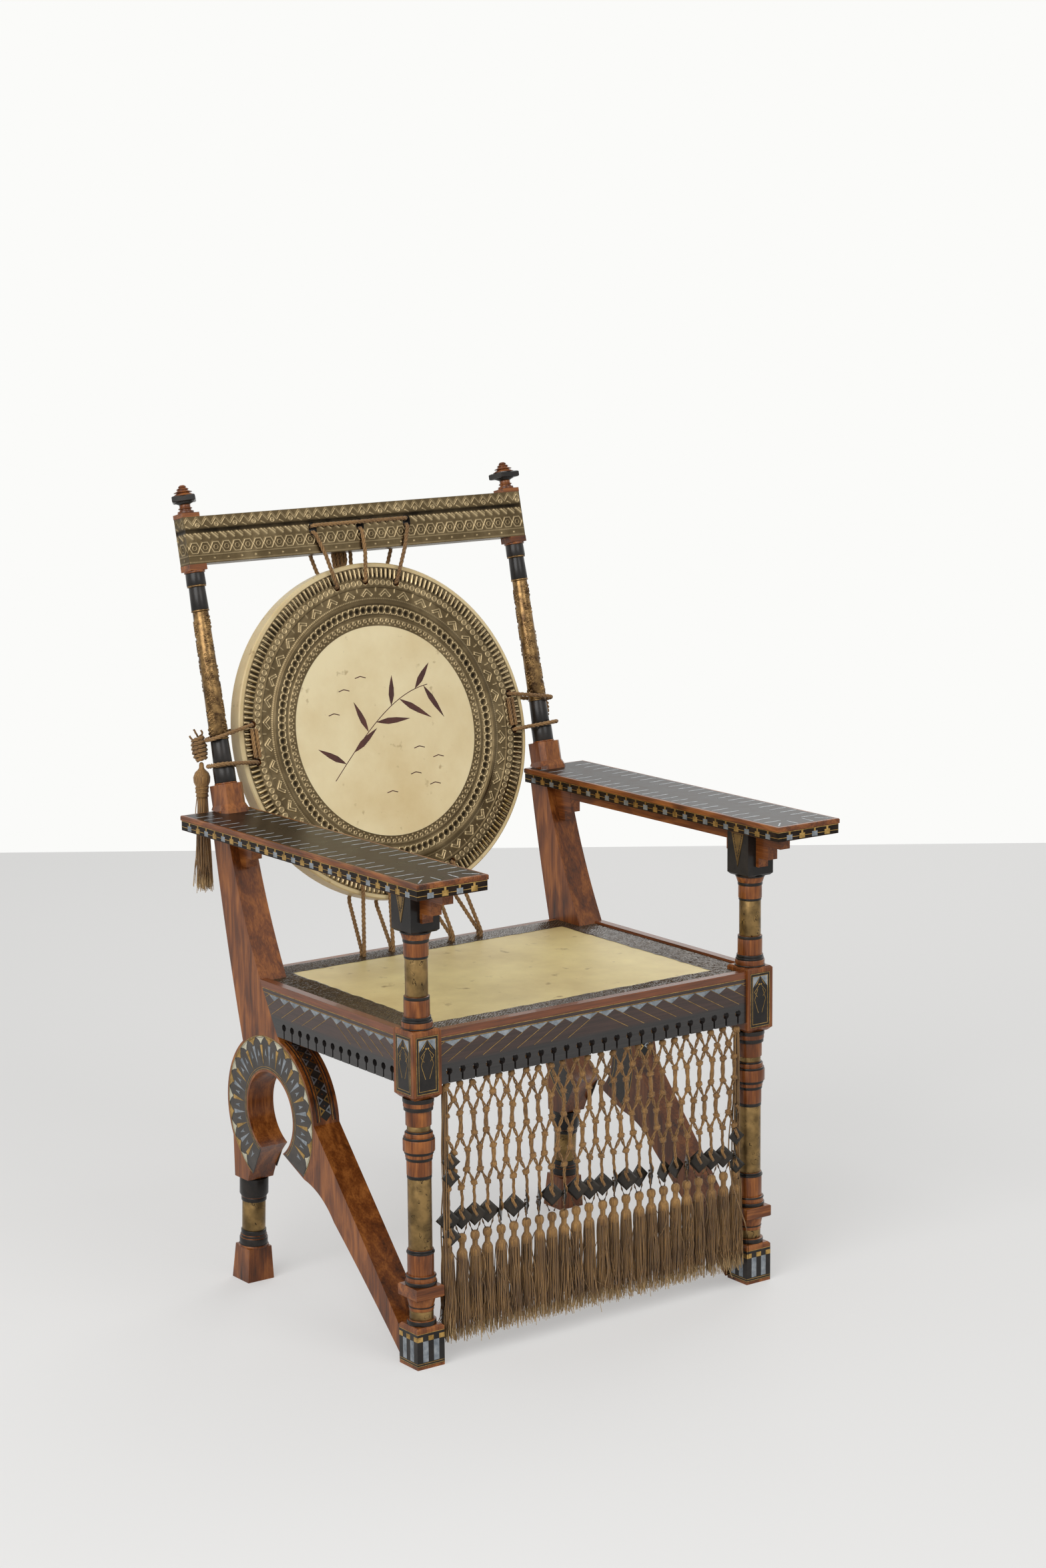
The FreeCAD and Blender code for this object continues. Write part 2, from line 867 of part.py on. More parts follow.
def disc_ring(points):
    """Ring turned about the back's own axis from (radius, depth behind the front) points."""
    outline = [Vector(radius, depth, 0) for radius, depth in points]
    return Part.Face(Part.makePolygon(outline + [outline[0]])).revolve(ORIGIN, BACKWARD, 360)


def disc_hole_places():
    """Rope holes as (x, height above the middle): three at the top, two a side, four at the bottom."""
    places = []
    for angle in top_hole_angles:
        turn = math.radians(angle)
        reach = disc_radius - top_hole_inset
        places.append((reach * math.sin(turn), reach * math.cos(turn)))
    for x in (side_hole_inset - disc_radius, disc_radius - side_hole_inset):
        places.append((x, side_hole_high_share * disc_radius))
        places.append((x, side_hole_low_share * disc_radius))
    for share in bottom_hole_shares:
        x = share * disc_radius
        places.append((x, -math.sqrt((disc_radius - bottom_hole_inset)**2 - x**2)))
    return places


def disc_holes():
    """Cutters for the rope holes through the round back."""
    cutters = []
    for x, up in disc_hole_places():
        rim = ring_of(x, up, 0, rope_hole_radius, rope_hole_sides)
        corners = [Vector(p.x, -disc_thickness, p.y) for p in rim]
        face = Part.Face(Part.makePolygon(corners + [corners[0]]))
        cutters.append(face.extrude(BACKWARD * (disc_thickness * 3)))
    return cutters


def set_disc(shape, holes):
    """Copy of a piece of the back, with its rope holes, in its place."""
    copy = shape.copy()
    if holes:
        for cutter in disc_holes():
            copy = copy.cut(cutter)
    return raked(placed(copy, 0, -disc_front, disc_rise))


def disc_body():
    """Flat drum of the back, with a shallow recess for the vellum and the inlaid ring."""
    rows = (
        (0, disc_recess),
        (disc_plate_radius, disc_recess),
        (disc_plate_radius, 0),
        (disc_body_radius, 0),
        (disc_body_radius, disc_thickness),
        (0, disc_thickness),
    )
    return set_disc(disc_ring(rows), True)


def disc_rim():
    """Vellum-covered hoop round the drum."""
    rows = (
        (disc_body_radius + fit, 0),
        (disc_radius - disc_recess, 0),
        (disc_radius, disc_recess),
        (disc_radius, disc_thickness - disc_recess),
        (disc_radius - disc_recess, disc_thickness),
        (disc_body_radius + fit, disc_thickness),
    )
    return set_disc(disc_ring(rows), False)


def disc_inlay_ring():
    """Ring with the inlaid bands, bevelled inside and with one raised ridge."""
    inner, outer, ridge = (disc_vellum_radius + share * plate_width for share in disc_ridge_shares)
    rows = (
        (disc_vellum_radius + fit, disc_recess),
        (disc_vellum_radius + fit, 0),
        (inner, 0),
        (outer, -disc_ridge_height / 2),
        (ridge, -disc_ridge_height),
        (disc_plate_radius - fit, 0),
        (disc_plate_radius - fit, disc_recess),
    )
    return set_disc(disc_ring(rows), True)


def disc_vellum():
    """Round sheet of vellum in the middle of the back."""
    sheet = Part.makeCylinder(disc_vellum_radius, disc_recess, ORIGIN, BACKWARD)
    return set_disc(sheet, False)


def rounded_route(points, bends, closed):
    """Route with each corner replaced by a few points on its tangent arc; a closed one starts mid-run."""
    count = len(points)
    route = [(points[-1] + points[0]) * 0.5] if closed else []
    for i, here in enumerate(points):
        if not closed and i in (0, count - 1):
            route.append(here)
            continue
        before, after = points[i - 1] - here, points[(i + 1) % count] - here
        back, ahead = Vector(before).normalize(), Vector(after).normalize()
        opening = back.getAngle(ahead)
        shorter = min(before.Length, after.Length)
        reach = min(bends[i] / math.tan(opening / 2), shorter * rope_bend_share)
        centre = here + (back + ahead).normalize() * (reach / math.cos(opening / 2))
        first = here + back * reach - centre
        last = here + ahead * reach - centre
        turn = math.pi - opening
        for step in range(rope_bend_steps + 1):
            part = turn * step / rope_bend_steps
            arm = first * math.sin(turn - part) + last * math.sin(part)
            route.append(centre + arm * (1 / math.sin(turn)))
    return route


def cord(points, bends, closed=False):
    """Rope with flat sides along straight runs and short bends, mitred where it turns."""
    route = rounded_route(points, bends, closed)
    count = len(route)
    ways = [(route[(i + 1) % count] - route[i]).normalize() for i in range(count if closed else count - 1)]
    side = ways[0].cross(ACROSS if abs(ways[0].x) < rope_level_share else UPWARD).normalize()
    up = ways[0].cross(side)
    section = []
    for corner in ring_of(0, 0, 0, rope_radius, rope_sides):
        section.append(route[0] + side * corner.x + up * corner.y)
    sections = [section]
    for i in range(1, count):
        way = ways[i - 1]
        plane = (way + ways[i]).normalize() if i < len(ways) else way
        section = [p + way * ((route[i] - p).dot(plane) / way.dot(plane)) for p in sections[-1]]
        sections.append(section)
    faces = []
    for lower, upper in zip(sections, sections[1:]):
        for i in range(rope_sides):
            j = (i + 1) % rope_sides
            faces.append(Part.Face(Part.makePolygon([lower[i], lower[j], upper[j], upper[i], lower[i]])))
    if closed:
        faces += closing_faces(sections[-1], sections[0])
    else:
        for end in (sections[0], sections[-1]):
            faces.append(Part.Face(Part.makePolygon(end + [end[0]])))
    solid = solid_from(faces)
    length = sum((route[(i + 1) % count] - route[i]).Length for i in range(len(ways)))
    area = rope_sides / 2 * rope_radius**2 * math.sin(2 * math.pi / rope_sides)
    print("rope", round(length, 1), "volume share", round(solid.Volume / (area * length), 4))
    return solid


def closing_faces(last, first):
    """Triangles that join a closed rope's last section to the nearest corners of its first."""
    shift = min(range(rope_sides), key=lambda k: (first[k] - last[0]).Length)
    faces = []
    for i in range(rope_sides):
        a, b = last[i], last[(i + 1) % rope_sides]
        c, d = first[(i + 1 + shift) % rope_sides], first[(i + shift) % rope_sides]
        faces.append(Part.Face(Part.makePolygon([a, b, c, a])))
        faces.append(Part.Face(Part.makePolygon([a, c, d, a])))
    return faces


def rope_loop(corners, bends):
    """Closed turn of rope through corners given as (x, s, d) on the rake."""
    return cord([raked_point(*corner) for corner in corners], bends, True)


front_of_rail = rail_depth / 2 + rope_radius + rope_gap
front_of_disc = disc_front + rope_radius + rope_gap
back_of_disc = disc_front - disc_thickness - rope_radius - rope_gap


def top_lashings():
    """Three turns from rail to back, one turn along the rail and the gathered end behind it."""
    pieces = []
    bends = [rope_bend] * 4
    for i, rail_x in enumerate((-rail_hole_x, 0, rail_hole_x)):
        disc_x, disc_up = disc_hole_places()[i]
        rail_s = rail_hole_s - rope_lift
        disc_s = disc_rise + disc_up
        disc_edge = disc_rise + math.sqrt(disc_radius**2 - disc_x**2) + rope_radius
        rail_edge = rail_low - rope_radius
        rail_lean = (disc_x - rail_x) / (rail_s - disc_s)
        rail_edge_x = rail_x + (rail_s - rail_edge) * rail_lean
        disc_edge_x = rail_x + (rail_s - disc_edge) * rail_lean
        corners = (
            (rail_x, rail_s, front_of_rail),
            (rail_edge_x, rail_edge, front_of_rail),
            (disc_x, disc_s, front_of_disc),
            (disc_x, disc_s, back_of_disc),
            (disc_edge_x, disc_edge, back_of_disc),
            (rail_x, rail_s, -front_of_rail),
        )
        half_bends = [rope_bend, rope_wide_bend, rope_bend]
        pieces.append(rope_loop(corners, half_bends + half_bends))
    high = rail_hole_s + rope_lift
    corners = (
        (-rail_hole_x, high, front_of_rail),
        (rail_hole_x, high, front_of_rail),
        (rail_hole_x, high, -front_of_rail),
        (-rail_hole_x, high, -front_of_rail),
    )
    pieces.append(rope_loop(corners, bends))
    behind = back_of_disc
    outer_half = hank_width - rope_radius
    for half in (outer_half, outer_half - hank_turn_gap):
        top = rail_hole_s + hank_top - (hank_width - half)
        bottom = rail_hole_s - hank_bottom + (hank_width - half)
        corners = (
            (hank_x - half, bottom, behind),
            (hank_x - half, top, behind),
            (hank_x + half, top, behind),
            (hank_x + half, bottom, behind),
        )
        pieces.append(rope_loop(corners, [half - seat_gap] * 4))
    return pieces


def tangent_corner(reach, start, radius):
    """Where a rope from a start beside a round post, drawn tight, meets the post's far side line."""
    slope = math.asin(radius / math.hypot(reach, start)) - math.atan2(start, reach)
    return start + (reach + radius) * math.tan(slope)


def side_lashing(side):
    """Two turns round a post and the strands between the two rope holes on the front."""
    pieces = []
    side_hole_x = disc_radius - side_hole_inset
    hole_high = side_hole_high_share * disc_radius
    hole_low = side_hole_low_share * disc_radius
    rows = (
        (hole_high, disc_rise + side_wrap_high_rise, wrap_radius_high),
        (hole_low, disc_rise + side_wrap_low_rise, wrap_radius_low),
    )
    for up, wrap_s, radius in rows:
        s = disc_rise + up
        reach = side_x - side_hole_x
        far_s = s + (wrap_s - s) * (reach + radius) / reach
        far = side * (side_x + radius)
        edge = math.sqrt(disc_radius**2 - up**2) + rope_radius
        edge_s = s + (wrap_s - s) * (edge - side_hole_x) / reach
        front = tangent_corner(reach, front_of_disc, radius)
        back = tangent_corner(side_x - edge, -back_of_disc, radius)
        x = side * side_hole_x
        corners = (
            (x, s, front_of_disc),
            (far, far_s, front),
            (far, far_s, -back),
            (side * edge, edge_s, back_of_disc),
            (x, s, back_of_disc),
        )
        wrap = radius - seat_gap
        pieces.append(rope_loop(corners, [rope_bend, wrap, wrap, rope_lead_bend, rope_bend]))
    low = disc_rise + hole_low + rope_bend
    high = disc_rise + hole_high - rope_bend
    for offset in (-rope_radius - seat_gap / 2, rope_radius + seat_gap / 2):
        x = side * side_hole_x + offset
        depth = disc_front + rope_radius + seat_gap
        start = raked_point(x, low, depth)
        end = raked_point(x, high, depth)
        pieces.append(cord([start, end], [0, 0]))
    return pieces


def bottom_lashings():
    """Four ropes from the seat board through the bottom of the back, knotted under the board."""
    pieces = []
    board_bottom = seat_top - cover_thickness - board_thickness
    hole_ring = disc_radius - bottom_hole_inset
    for hole_share, disc_share in zip(seat_hole_shares, bottom_hole_shares):
        hole_x = hole_share * panel_half_width
        disc_x = disc_share * disc_radius
        disc_s = disc_rise - math.sqrt(hole_ring**2 - disc_x**2)
        edge_s = disc_rise - math.sqrt(disc_radius**2 - disc_x**2)
        lead = seat_top + rope_lead
        turn_share = (disc_s - edge_s) / (disc_s + (arm_underside - seat_top))
        turn_x = disc_x + (hole_x - disc_x) * turn_share
        points = [
            Vector(hole_x, seat_hole_y - rope_pair, board_bottom),
            Vector(hole_x, seat_hole_y - rope_pair, lead),
            raked_point(disc_x, disc_s, front_of_disc),
            raked_point(disc_x, disc_s, back_of_disc),
            raked_point(turn_x, edge_s - rope_radius, back_of_disc - rope_gap),
            Vector(hole_x, seat_hole_y + rope_pair, lead),
            Vector(hole_x, seat_hole_y + rope_pair, board_bottom),
        ]
        rope = cord(points, [0, rope_lead_bend, rope_bend, rope_bend, rope_lead_bend, rope_bend, 0])
        rows = (
            (rope_knot_radius / 2, -rope_knot_drop),
            (rope_knot_radius, -rope_knot_drop / 2),
            (rope_knot_radius, 0),
        )
        bulge = placed(faceted(rows, rope_sides), hole_x, seat_hole_y, board_bottom)
        pieces.append(rope.fuse(bulge))
    return pieces


def knot(side):
    """Bound knot of rope on the outer back side of a post."""
    third = knot_length / 3
    rows = (
        (knot_end_radius, knot_low),
        (knot_radius, knot_low + third),
        (knot_radius, knot_low + third + third),
        (knot_end_radius, knot_low + knot_length),
    )
    barrel = faceted(rows, knot_sides)
    return raked(placed(barrel, 0, knot_out, 0), side * (side_x + knot_out))


def tassel_pivot(side):
    """Middle of the small knot that a tassel hangs from."""
    foot = raked_point(side * (side_x + knot_out), knot_low, -knot_out)
    return foot - Vector(0, 0, (tassel_ball + seat_gap) / math.cos(math.radians(rake)))


def hanging_tassel(side, length):
    """Tassel with a bound head, hanging free from its small knot."""
    wrap_end = tassel_head_drop + tassel_wrap
    rows = (
        (tassel_radius, -length),
        (tassel_skirt_radius, -wrap_end),
        (tassel_radius, -wrap_end),
        (tassel_radius, -tassel_head_drop),
        (tassel_neck, -tassel_neck_length),
        (tassel_ball, 0),
        (seat_gap, tassel_ball),
    )
    pivot = tassel_pivot(side)
    return placed(faceted(rows, knot_sides), pivot.x, pivot.y, pivot.z)


def keyhole_points(middle, radius, slit, sides, low):
    """Outline of a keyhole, open below, as (along, height) from its middle."""
    start = math.asin(slit / 2 / radius)
    turn = (2 * math.pi - 2 * start) / sides
    points = [(middle - slit / 2, low)]
    for i in range(sides + 1):
        angle = start + turn * i
        points.append((middle - radius * math.sin(angle), keyhole_z - radius * math.cos(angle)))
    points.append((middle + slit / 2, low))
    return points


def board_with_keyholes(start, end, middles):
    """Lower edge of an apron from start to end with its keyholes, as (along, height) points."""
    points = [(start, apron_bottom)]
    for middle in middles:
        points.extend(keyhole_points(middle, keyhole_radius, keyhole_slit, keyhole_sides, apron_bottom))
    points.append((end, apron_bottom))
    return points


front_middles = [front_keyhole_pitch * (i - (front_keyholes - 1) / 2) for i in range(front_keyholes)]


def front_apron():
    """Board under the front of the seat, with keyholes for the fringe."""
    reach = front_apron_reach
    outline = board_with_keyholes(-reach, reach, front_middles)
    outline += [(reach, apron_top), (-reach, apron_top)]
    points = [Vector(x, front_apron_y, z) for x, z in outline]
    return Part.Face(Part.makePolygon(points + [points[0]])).extrude(BACKWARD * apron_thickness)


def side_apron():
    """Board under the side of the seat, cut to the plank's slope at its back."""
    start = front_y + block_width / 2
    middles = [side_keyhole_front_y + side_keyhole_pitch * i for i in range(side_keyholes)]
    end = plank_front(apron_bottom) - fit
    outline = board_with_keyholes(start, end, middles)
    outline += [(plank_front(apron_top) - fit, apron_top), (start, apron_top)]
    x = side_apron_x - apron_thickness
    points = [Vector(x, y, z) for y, z in outline]
    return Part.Face(Part.makePolygon(points + [points[0]])).extrude(ACROSS * apron_thickness)


def seat_plan(z_low, z_high, front, reach):
    """Board that fills the seat inside the aprons, notched for the posts and planks."""
    block_x = front_x - block_width / 2
    block_y = front_y + block_width / 2
    plank_x = side_x - side_thickness / 2
    plank_y = plank_front(z_low) - plank_allowance
    half = [
        (block_x, front),
        (block_x, block_y),
        (reach, block_y),
        (reach, plank_y),
        (plank_x, plank_y),
        (plank_x, seat_back_y - apron_thickness),
    ]
    plan = half + [(-x, y) for x, y in reversed(half)]
    points = [Vector(x, y, z_low) for x, y in plan]
    board = Part.Face(Part.makePolygon(points + [points[0]])).extrude(UPWARD * (z_high - z_low))
    for share in seat_hole_shares:
        x = share * panel_half_width
        half_width = seat_hole_width / 2
        half_length = seat_hole_length / 2
        y = seat_hole_y
        slot = box(x - half_width, x + half_width, y - half_length, y + half_length, z_low, z_high)
        board = board.cut(slot)
    return board


def seat_board():
    """Wooden board under the covers of the seat."""
    high = seat_top - cover_thickness
    front = front_apron_y + apron_thickness
    return seat_plan(high - board_thickness, high, front, side_apron_x - apron_thickness)


def seat_border():
    """Embossed strip round the vellum."""
    low = seat_top - cover_thickness
    front = front_apron_y + apron_thickness
    plan = seat_plan(low, seat_top, front, side_apron_x - apron_thickness)
    inner = box(-panel_half_width, panel_half_width, panel_front_y, panel_back_y, low, seat_top)
    return plan.cut(inner)


def seat_panel():
    """Vellum panel in the middle of the seat."""
    half = panel_half_width - fit
    low = seat_top - cover_thickness
    return box(-half, half, panel_front_y + fit, panel_back_y - fit, low, seat_top)


def back_rail():
    """Rail between the planks at the back of the seat."""
    reach = side_x - side_thickness / 2
    front = seat_back_y - apron_thickness
    return box(-reach, reach, front, seat_back_y, seat_top - back_rail_height, seat_top)


def fringe_hangers():
    """Short cords in the slits of the front apron."""
    pieces = []
    half = hanger_width / 2
    front = net_y - hanger_depth / 2
    low = row_a + math.hypot(net_knot, net_thickness / 2) + seat_gap
    for x in front_middles:
        pieces.append(box(x - half, x + half, front, front + hanger_depth, low, keyhole_z))
    return Part.makeCompound(pieces)


def net_cell(corners):
    """Outline of one gap of the net, drawn in from the cords' middles by half a cord."""
    points = [Vector(x, 0, z) for x, z in corners]
    return Part.makePolygon(points + [points[0]]).makeOffset2D(-net_cord / 2, 2)


def fringe_net():
    """Knotted net as one holed sheet, with a drop below every knot of its last row."""
    first = front_middles[0]
    last = front_middles[-1]
    half = net_cord / 2
    pitch = front_keyhole_pitch
    edge_left = first - net_border
    edge_right = last + net_border
    outline = [(edge_left, row_c)]
    for x in front_middles:
        outline.append((x - net_border, row_a - net_knot / 2))
        outline.append((x - net_border, row_a + net_knot))
        outline.append((x + net_border, row_a + net_knot))
        outline.append((x + net_border, row_a - net_knot / 2))
        if x < last:
            outline.append((x + pitch / 2, row_b + net_point))
    outline.append((edge_right, row_c))
    for x in reversed(front_middles):
        if x < last:
            outline.append((x + pitch / 2, row_f - net_point))
        outline.append((x + half, row_g))
        outline.append((x + half, head_top))
        outline.append((x - half, head_top))
        outline.append((x - half, row_g))
    points = [Vector(x, 0, z) for x, z in outline]
    cells = []
    for i, x in enumerate(front_middles):
        left = x - pitch / 2 if i > 0 else x
        right = x + pitch / 2 if i < len(front_middles) - 1 else x
        diamond = [(x, row_a), (left, row_b), (x, row_c), (right, row_b)]
        hexagon = [(x, row_d), (left, row_e), (left, row_f), (x, row_g), (right, row_f), (right, row_e)]
        if left == x:
            diamond.remove((left, row_b))
            hexagon = [(x, row_d), (x, row_g), (right, row_f), (right, row_e)]
        if right == x:
            diamond.remove((right, row_b))
            hexagon = [(x, row_d), (left, row_e), (left, row_f), (x, row_g)]
        cells.append(diamond)
        cells.append(hexagon)
        if i < len(front_middles) - 1:
            ahead = x + pitch
            middle = x + pitch / 2
            rows = [(middle, row_b), (x, row_c), (x, row_d), (middle, row_e), (ahead, row_d), (ahead, row_c)]
            cells.append(rows)
    faces = [Part.makePolygon(points + [points[0]])]
    faces += [net_cell(cell) for cell in cells]
    sheet = Part.makeFace(faces, "Part::FaceMakerBullseye").extrude(BACKWARD * net_thickness)
    return placed(sheet, 0, net_y - net_thickness / 2, 0)


def fringe_squares():
    """Leather squares hung cornerwise, one before and the next behind the drops."""
    pieces = []
    for i, x in enumerate(front_middles):
        sides = ((0, -1), (1, 0), (0, 1), (-1, 0))
        start = net_y - net_thickness / 2 - seat_gap - square_thickness
        if i % 2:
            start = net_y + net_thickness / 2 + seat_gap
        points = [Vector(x + a * square_half, start, square_z + b * square_half) for a, b in sides]
        square = Part.Face(Part.makePolygon(points + [points[0]]))
        pieces.append(square.extrude(BACKWARD * square_thickness))
    return Part.makeCompound(pieces)


def fringe_tassels():
    """Tassels at the foot of the fringe, each with a bound head."""
    pieces = []
    for x in front_middles:
        sections = [
            ring_of(x, net_y, tassel_bottom, fringe_skirt_radius, fringe_sides),
            ring_of(x, net_y, head_bottom, fringe_head_radius, fringe_sides),
            ring_of(x, net_y, head_top, fringe_head_radius, fringe_sides),
        ]
        pieces.append(stacked(sections))
    return Part.makeCompound(pieces)


def back_reach():
    """Furthest back point of the finials' caps."""
    s = rail_high + rail_plate_height + finial_cap_shares[1] * finial_length
    turned_reach = 0
    for turn in (left_cap_turn, right_cap_turn):
        angle = math.radians(turn)
        turned_reach = max(turned_reach, cap_reach * (math.cos(angle) + abs(math.sin(angle))))
    return raked_point(0, s, -turned_reach).y


middle_y = (arm_front_y + back_reach()) / 2


def save(name, shape):
    """Write one node, moved so that the footprint's middle is the origin."""
    copy = placed(shape, 0, -middle_y, 0)
    if not all(piece.isValid() for piece in copy.Solids):
        print("not valid:", name)
    copy.exportStep("parts/" + name + ".step")


def save_pair(name, shape):
    """Write a piece that both sides of the chair have."""
    save("right_" + name, shape)
    save("left_" + name, mirrored(shape))


save_pair("front_foot", front_foot())
save_pair("front_post", front_post())
save_pair(
    "seat_block",
    post_block(front_x, front_y, lower_top, seat_block_top, block_width, seat_block_bevel, block_top_bevel),
)
save_pair("arm_post", arm_post())
save_pair(
    "capital",
    post_block(front_x, front_y, arm_post_top, arm_underside, block_width, capital_bevel, 0),
)
save_pair("brass_sleeves", brass_sleeves())
save_pair("arm_corbels", Part.makeCompound([front_corbel(), rear_step(), back_corbel()]))
save_pair("arm_under_rail", arm_under_rail())
save_pair("arm", arm())
save_pair("side_frame", side_frame())
save_pair("side_inlay", side_inlay())
save_pair("back_leg", back_leg())
save_pair("back_foot", back_foot())
save_pair("post_base_block", post_base_block())
save_pair("back_post", back_post())
save_pair("back_post_metal", back_post_metal())
save("left_finial", finial(-side_x, left_cap_turn))
save("right_finial", finial(side_x, right_cap_turn))
save("top_rail_core", top_rail_core())
save("top_rail_sheet", top_rail_sheet())
save("rail_collars", rail_collars())
save("disc_body", disc_body())
save("disc_rim", disc_rim())
save("disc_inlay_ring", disc_inlay_ring())
save("disc_vellum", disc_vellum())
ropes = top_lashings() + side_lashing(-1) + side_lashing(1) + bottom_lashings()
save("back_lashings", Part.makeCompound(ropes + [knot(-1), knot(1)]))
save("left_tassel", hanging_tassel(-1, left_tassel_length))
save("right_tassel", hanging_tassel(1, right_tassel_length))
save("seat_board", seat_board())
save("seat_border", seat_border())
save("seat_panel", seat_panel())
save("back_rail", back_rail())
save("front_apron", front_apron())
save("right_side_apron", side_apron())
save("left_side_apron", mirrored(side_apron()))
save("fringe_hangers", fringe_hangers())
save("fringe_net", fringe_net())
save("fringe_squares", fringe_squares())
save("fringe_tassels", fringe_tassels())
print("origin moved by", round(-middle_y, 2))
for side in (-1, 1):
    pivot = tassel_pivot(side)
    print("tassel pivot", round(pivot.x, 2), round(pivot.y - middle_y, 2), round(pivot.z, 2))
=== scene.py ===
import bmesh
import bpy
import numpy as np
from mathutils import Matrix, Vector


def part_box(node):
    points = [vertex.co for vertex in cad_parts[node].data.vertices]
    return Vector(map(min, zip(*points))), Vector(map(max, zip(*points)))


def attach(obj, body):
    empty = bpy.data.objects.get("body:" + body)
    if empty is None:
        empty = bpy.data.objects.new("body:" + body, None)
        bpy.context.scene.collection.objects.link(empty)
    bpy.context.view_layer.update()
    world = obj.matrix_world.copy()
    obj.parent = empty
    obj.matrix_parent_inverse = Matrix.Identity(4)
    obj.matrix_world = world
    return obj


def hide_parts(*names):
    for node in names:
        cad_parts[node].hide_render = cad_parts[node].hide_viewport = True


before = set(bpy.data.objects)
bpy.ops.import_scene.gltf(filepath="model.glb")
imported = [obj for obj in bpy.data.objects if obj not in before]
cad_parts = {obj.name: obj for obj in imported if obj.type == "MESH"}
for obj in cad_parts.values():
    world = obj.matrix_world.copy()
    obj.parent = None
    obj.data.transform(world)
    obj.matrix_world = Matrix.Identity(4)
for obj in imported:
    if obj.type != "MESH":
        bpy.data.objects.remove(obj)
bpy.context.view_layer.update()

mm = 0.001


# The view: a camera at standing height in front of the chair's left arm, looking slightly down.
# Its place, turns and lens were found from the chair's own corners in the photograph.
camera_place = (-2.54995, -3.62303, 1.51703)
camera_yaw, camera_pitch, camera_roll = -0.6256, -0.1832, -0.0094
camera_lens = 75.92
film_height = 36.0


def camera_turn(yaw, pitch, roll):
    """Rotation whose columns are the camera's right, its up and the way behind it."""
    ahead = Vector((-np.sin(yaw) * np.cos(pitch), np.cos(yaw) * np.cos(pitch), np.sin(pitch)))
    level = ahead.cross(Vector((0, 0, 1))).normalized()
    upright = level.cross(ahead)
    right = np.cos(roll) * level + np.sin(roll) * upright
    up = -np.sin(roll) * level + np.cos(roll) * upright
    return Matrix((right, up, -ahead)).transposed()


camera_data = bpy.data.cameras.new("camera")
camera_data.sensor_fit = "VERTICAL"
camera_data.sensor_height = film_height
camera_data.lens = camera_lens
camera_data.clip_end = 60
camera = bpy.data.objects.new("camera", camera_data)
turn = camera_turn(camera_yaw, camera_pitch, camera_roll).to_4x4()
camera.matrix_world = Matrix.Translation(camera_place) @ turn
bpy.context.scene.collection.objects.link(camera)
bpy.context.scene.camera = camera
bpy.context.scene.view_settings.view_transform = "Standard"


# The studio: a pale painted floor that ends in front of a white wall, lit by one large soft lamp on
# the left, a smaller one in front, one behind and the white room itself.
floor_colour, floor_glow = "#dedddc", 0.35
wall_distance = 7.39
floor_reach = 9.0
lamps = {
    "key_lamp": ((-3.4, -1.5, 2.9), 3.0, 118),
    "front_lamp": ((0.6, -4.6, 3.4), 2.6, 62),
    "back_lamp": ((3.2, 2.2, 3.2), 2.4, 38),
}
lamp_target = Vector((0, 0, 0.5))
room_light = 0.42


def paint(code):
    """Linear colour from an sRGB hex value."""
    parts = np.array([int(code[i:i + 2], 16) for i in (1, 3, 5)]) / 255
    straight = np.where(parts <= 0.04045, parts / 12.92, ((parts + 0.055) / 1.055) ** 2.4)
    return (*straight.tolist(), 1.0)


def fill(node, sockets):
    """Fills a node's sockets, each with a value, an output, or another node for its first output."""
    for name, value in sockets.items():
        value = value.outputs[0] if isinstance(value, bpy.types.Node) else value
        if isinstance(value, bpy.types.NodeSocket):
            node.id_data.links.new(value, node.inputs[name])
        else:
            node.inputs[name].default_value = value
    return node


def add(tree, kind, sockets=None, stops=None, **settings):
    """New shader node with its settings and its sockets filled; stops are a ramp's places and colours."""
    node = tree.nodes.new("ShaderNode" + kind)
    for name, value in settings.items():
        setattr(node, name, value)
    fill(node, sockets or {})
    for place, (position, colour) in enumerate(stops or ()):
        elements = node.color_ramp.elements
        element = elements[place] if place < len(elements) else elements.new(position)
        element.position = position
        element.color = paint(colour)
    return node


def new_finish(name):
    """Empty material with its node tree and the place of each point on its object."""
    made = bpy.data.materials.new(name)
    made.use_nodes = True
    return made, made.node_tree, add(made.node_tree, "TexCoord").outputs["Object"]


def finished(made, sockets):
    """The material, with the sockets of its main shader filled."""
    fill(made.node_tree.nodes["Principled BSDF"], sockets)
    return made


def seen_or_mirrored(tree):
    """Node that gives 1 where the eye, a mirror or glass meets a surface, and 0 where only light does."""
    way = add(tree, "LightPath").outputs
    seen = add(tree, "Math", {0: way["Is Camera Ray"], 1: way["Is Glossy Ray"]}, operation="MAXIMUM")
    return add(tree, "Math", {0: seen, 1: way["Is Transmission Ray"]}, operation="MAXIMUM")


def studio_paint(name, colour, glow):
    """Matt paint that takes shadows, and shows a share of plain white to the eye and in reflections."""
    made, tree, _ = new_finish(name)
    finished(made, {"Base Color": paint(colour), "Roughness": 0.9})
    share = add(tree, "Math", {0: seen_or_mirrored(tree), 1: glow}, operation="MULTIPLY")
    white = add(tree, "Emission", {"Color": paint("#fcfcfb"), "Strength": 1.0})
    both = add(tree, "MixShader", {0: share, 1: tree.nodes["Principled BSDF"], 2: white})
    fill(tree.nodes["Material Output"], {"Surface": both})
    return made


def stage_plane(name, corners, made):
    """Flat part of the studio between four corners."""
    mesh = bpy.data.meshes.new(name)
    mesh.from_pydata([tuple(corner) for corner in corners], [], [(0, 1, 2, 3)])
    mesh.materials.append(made)
    plane = bpy.data.objects.new(name, mesh)
    bpy.context.scene.collection.objects.link(plane)


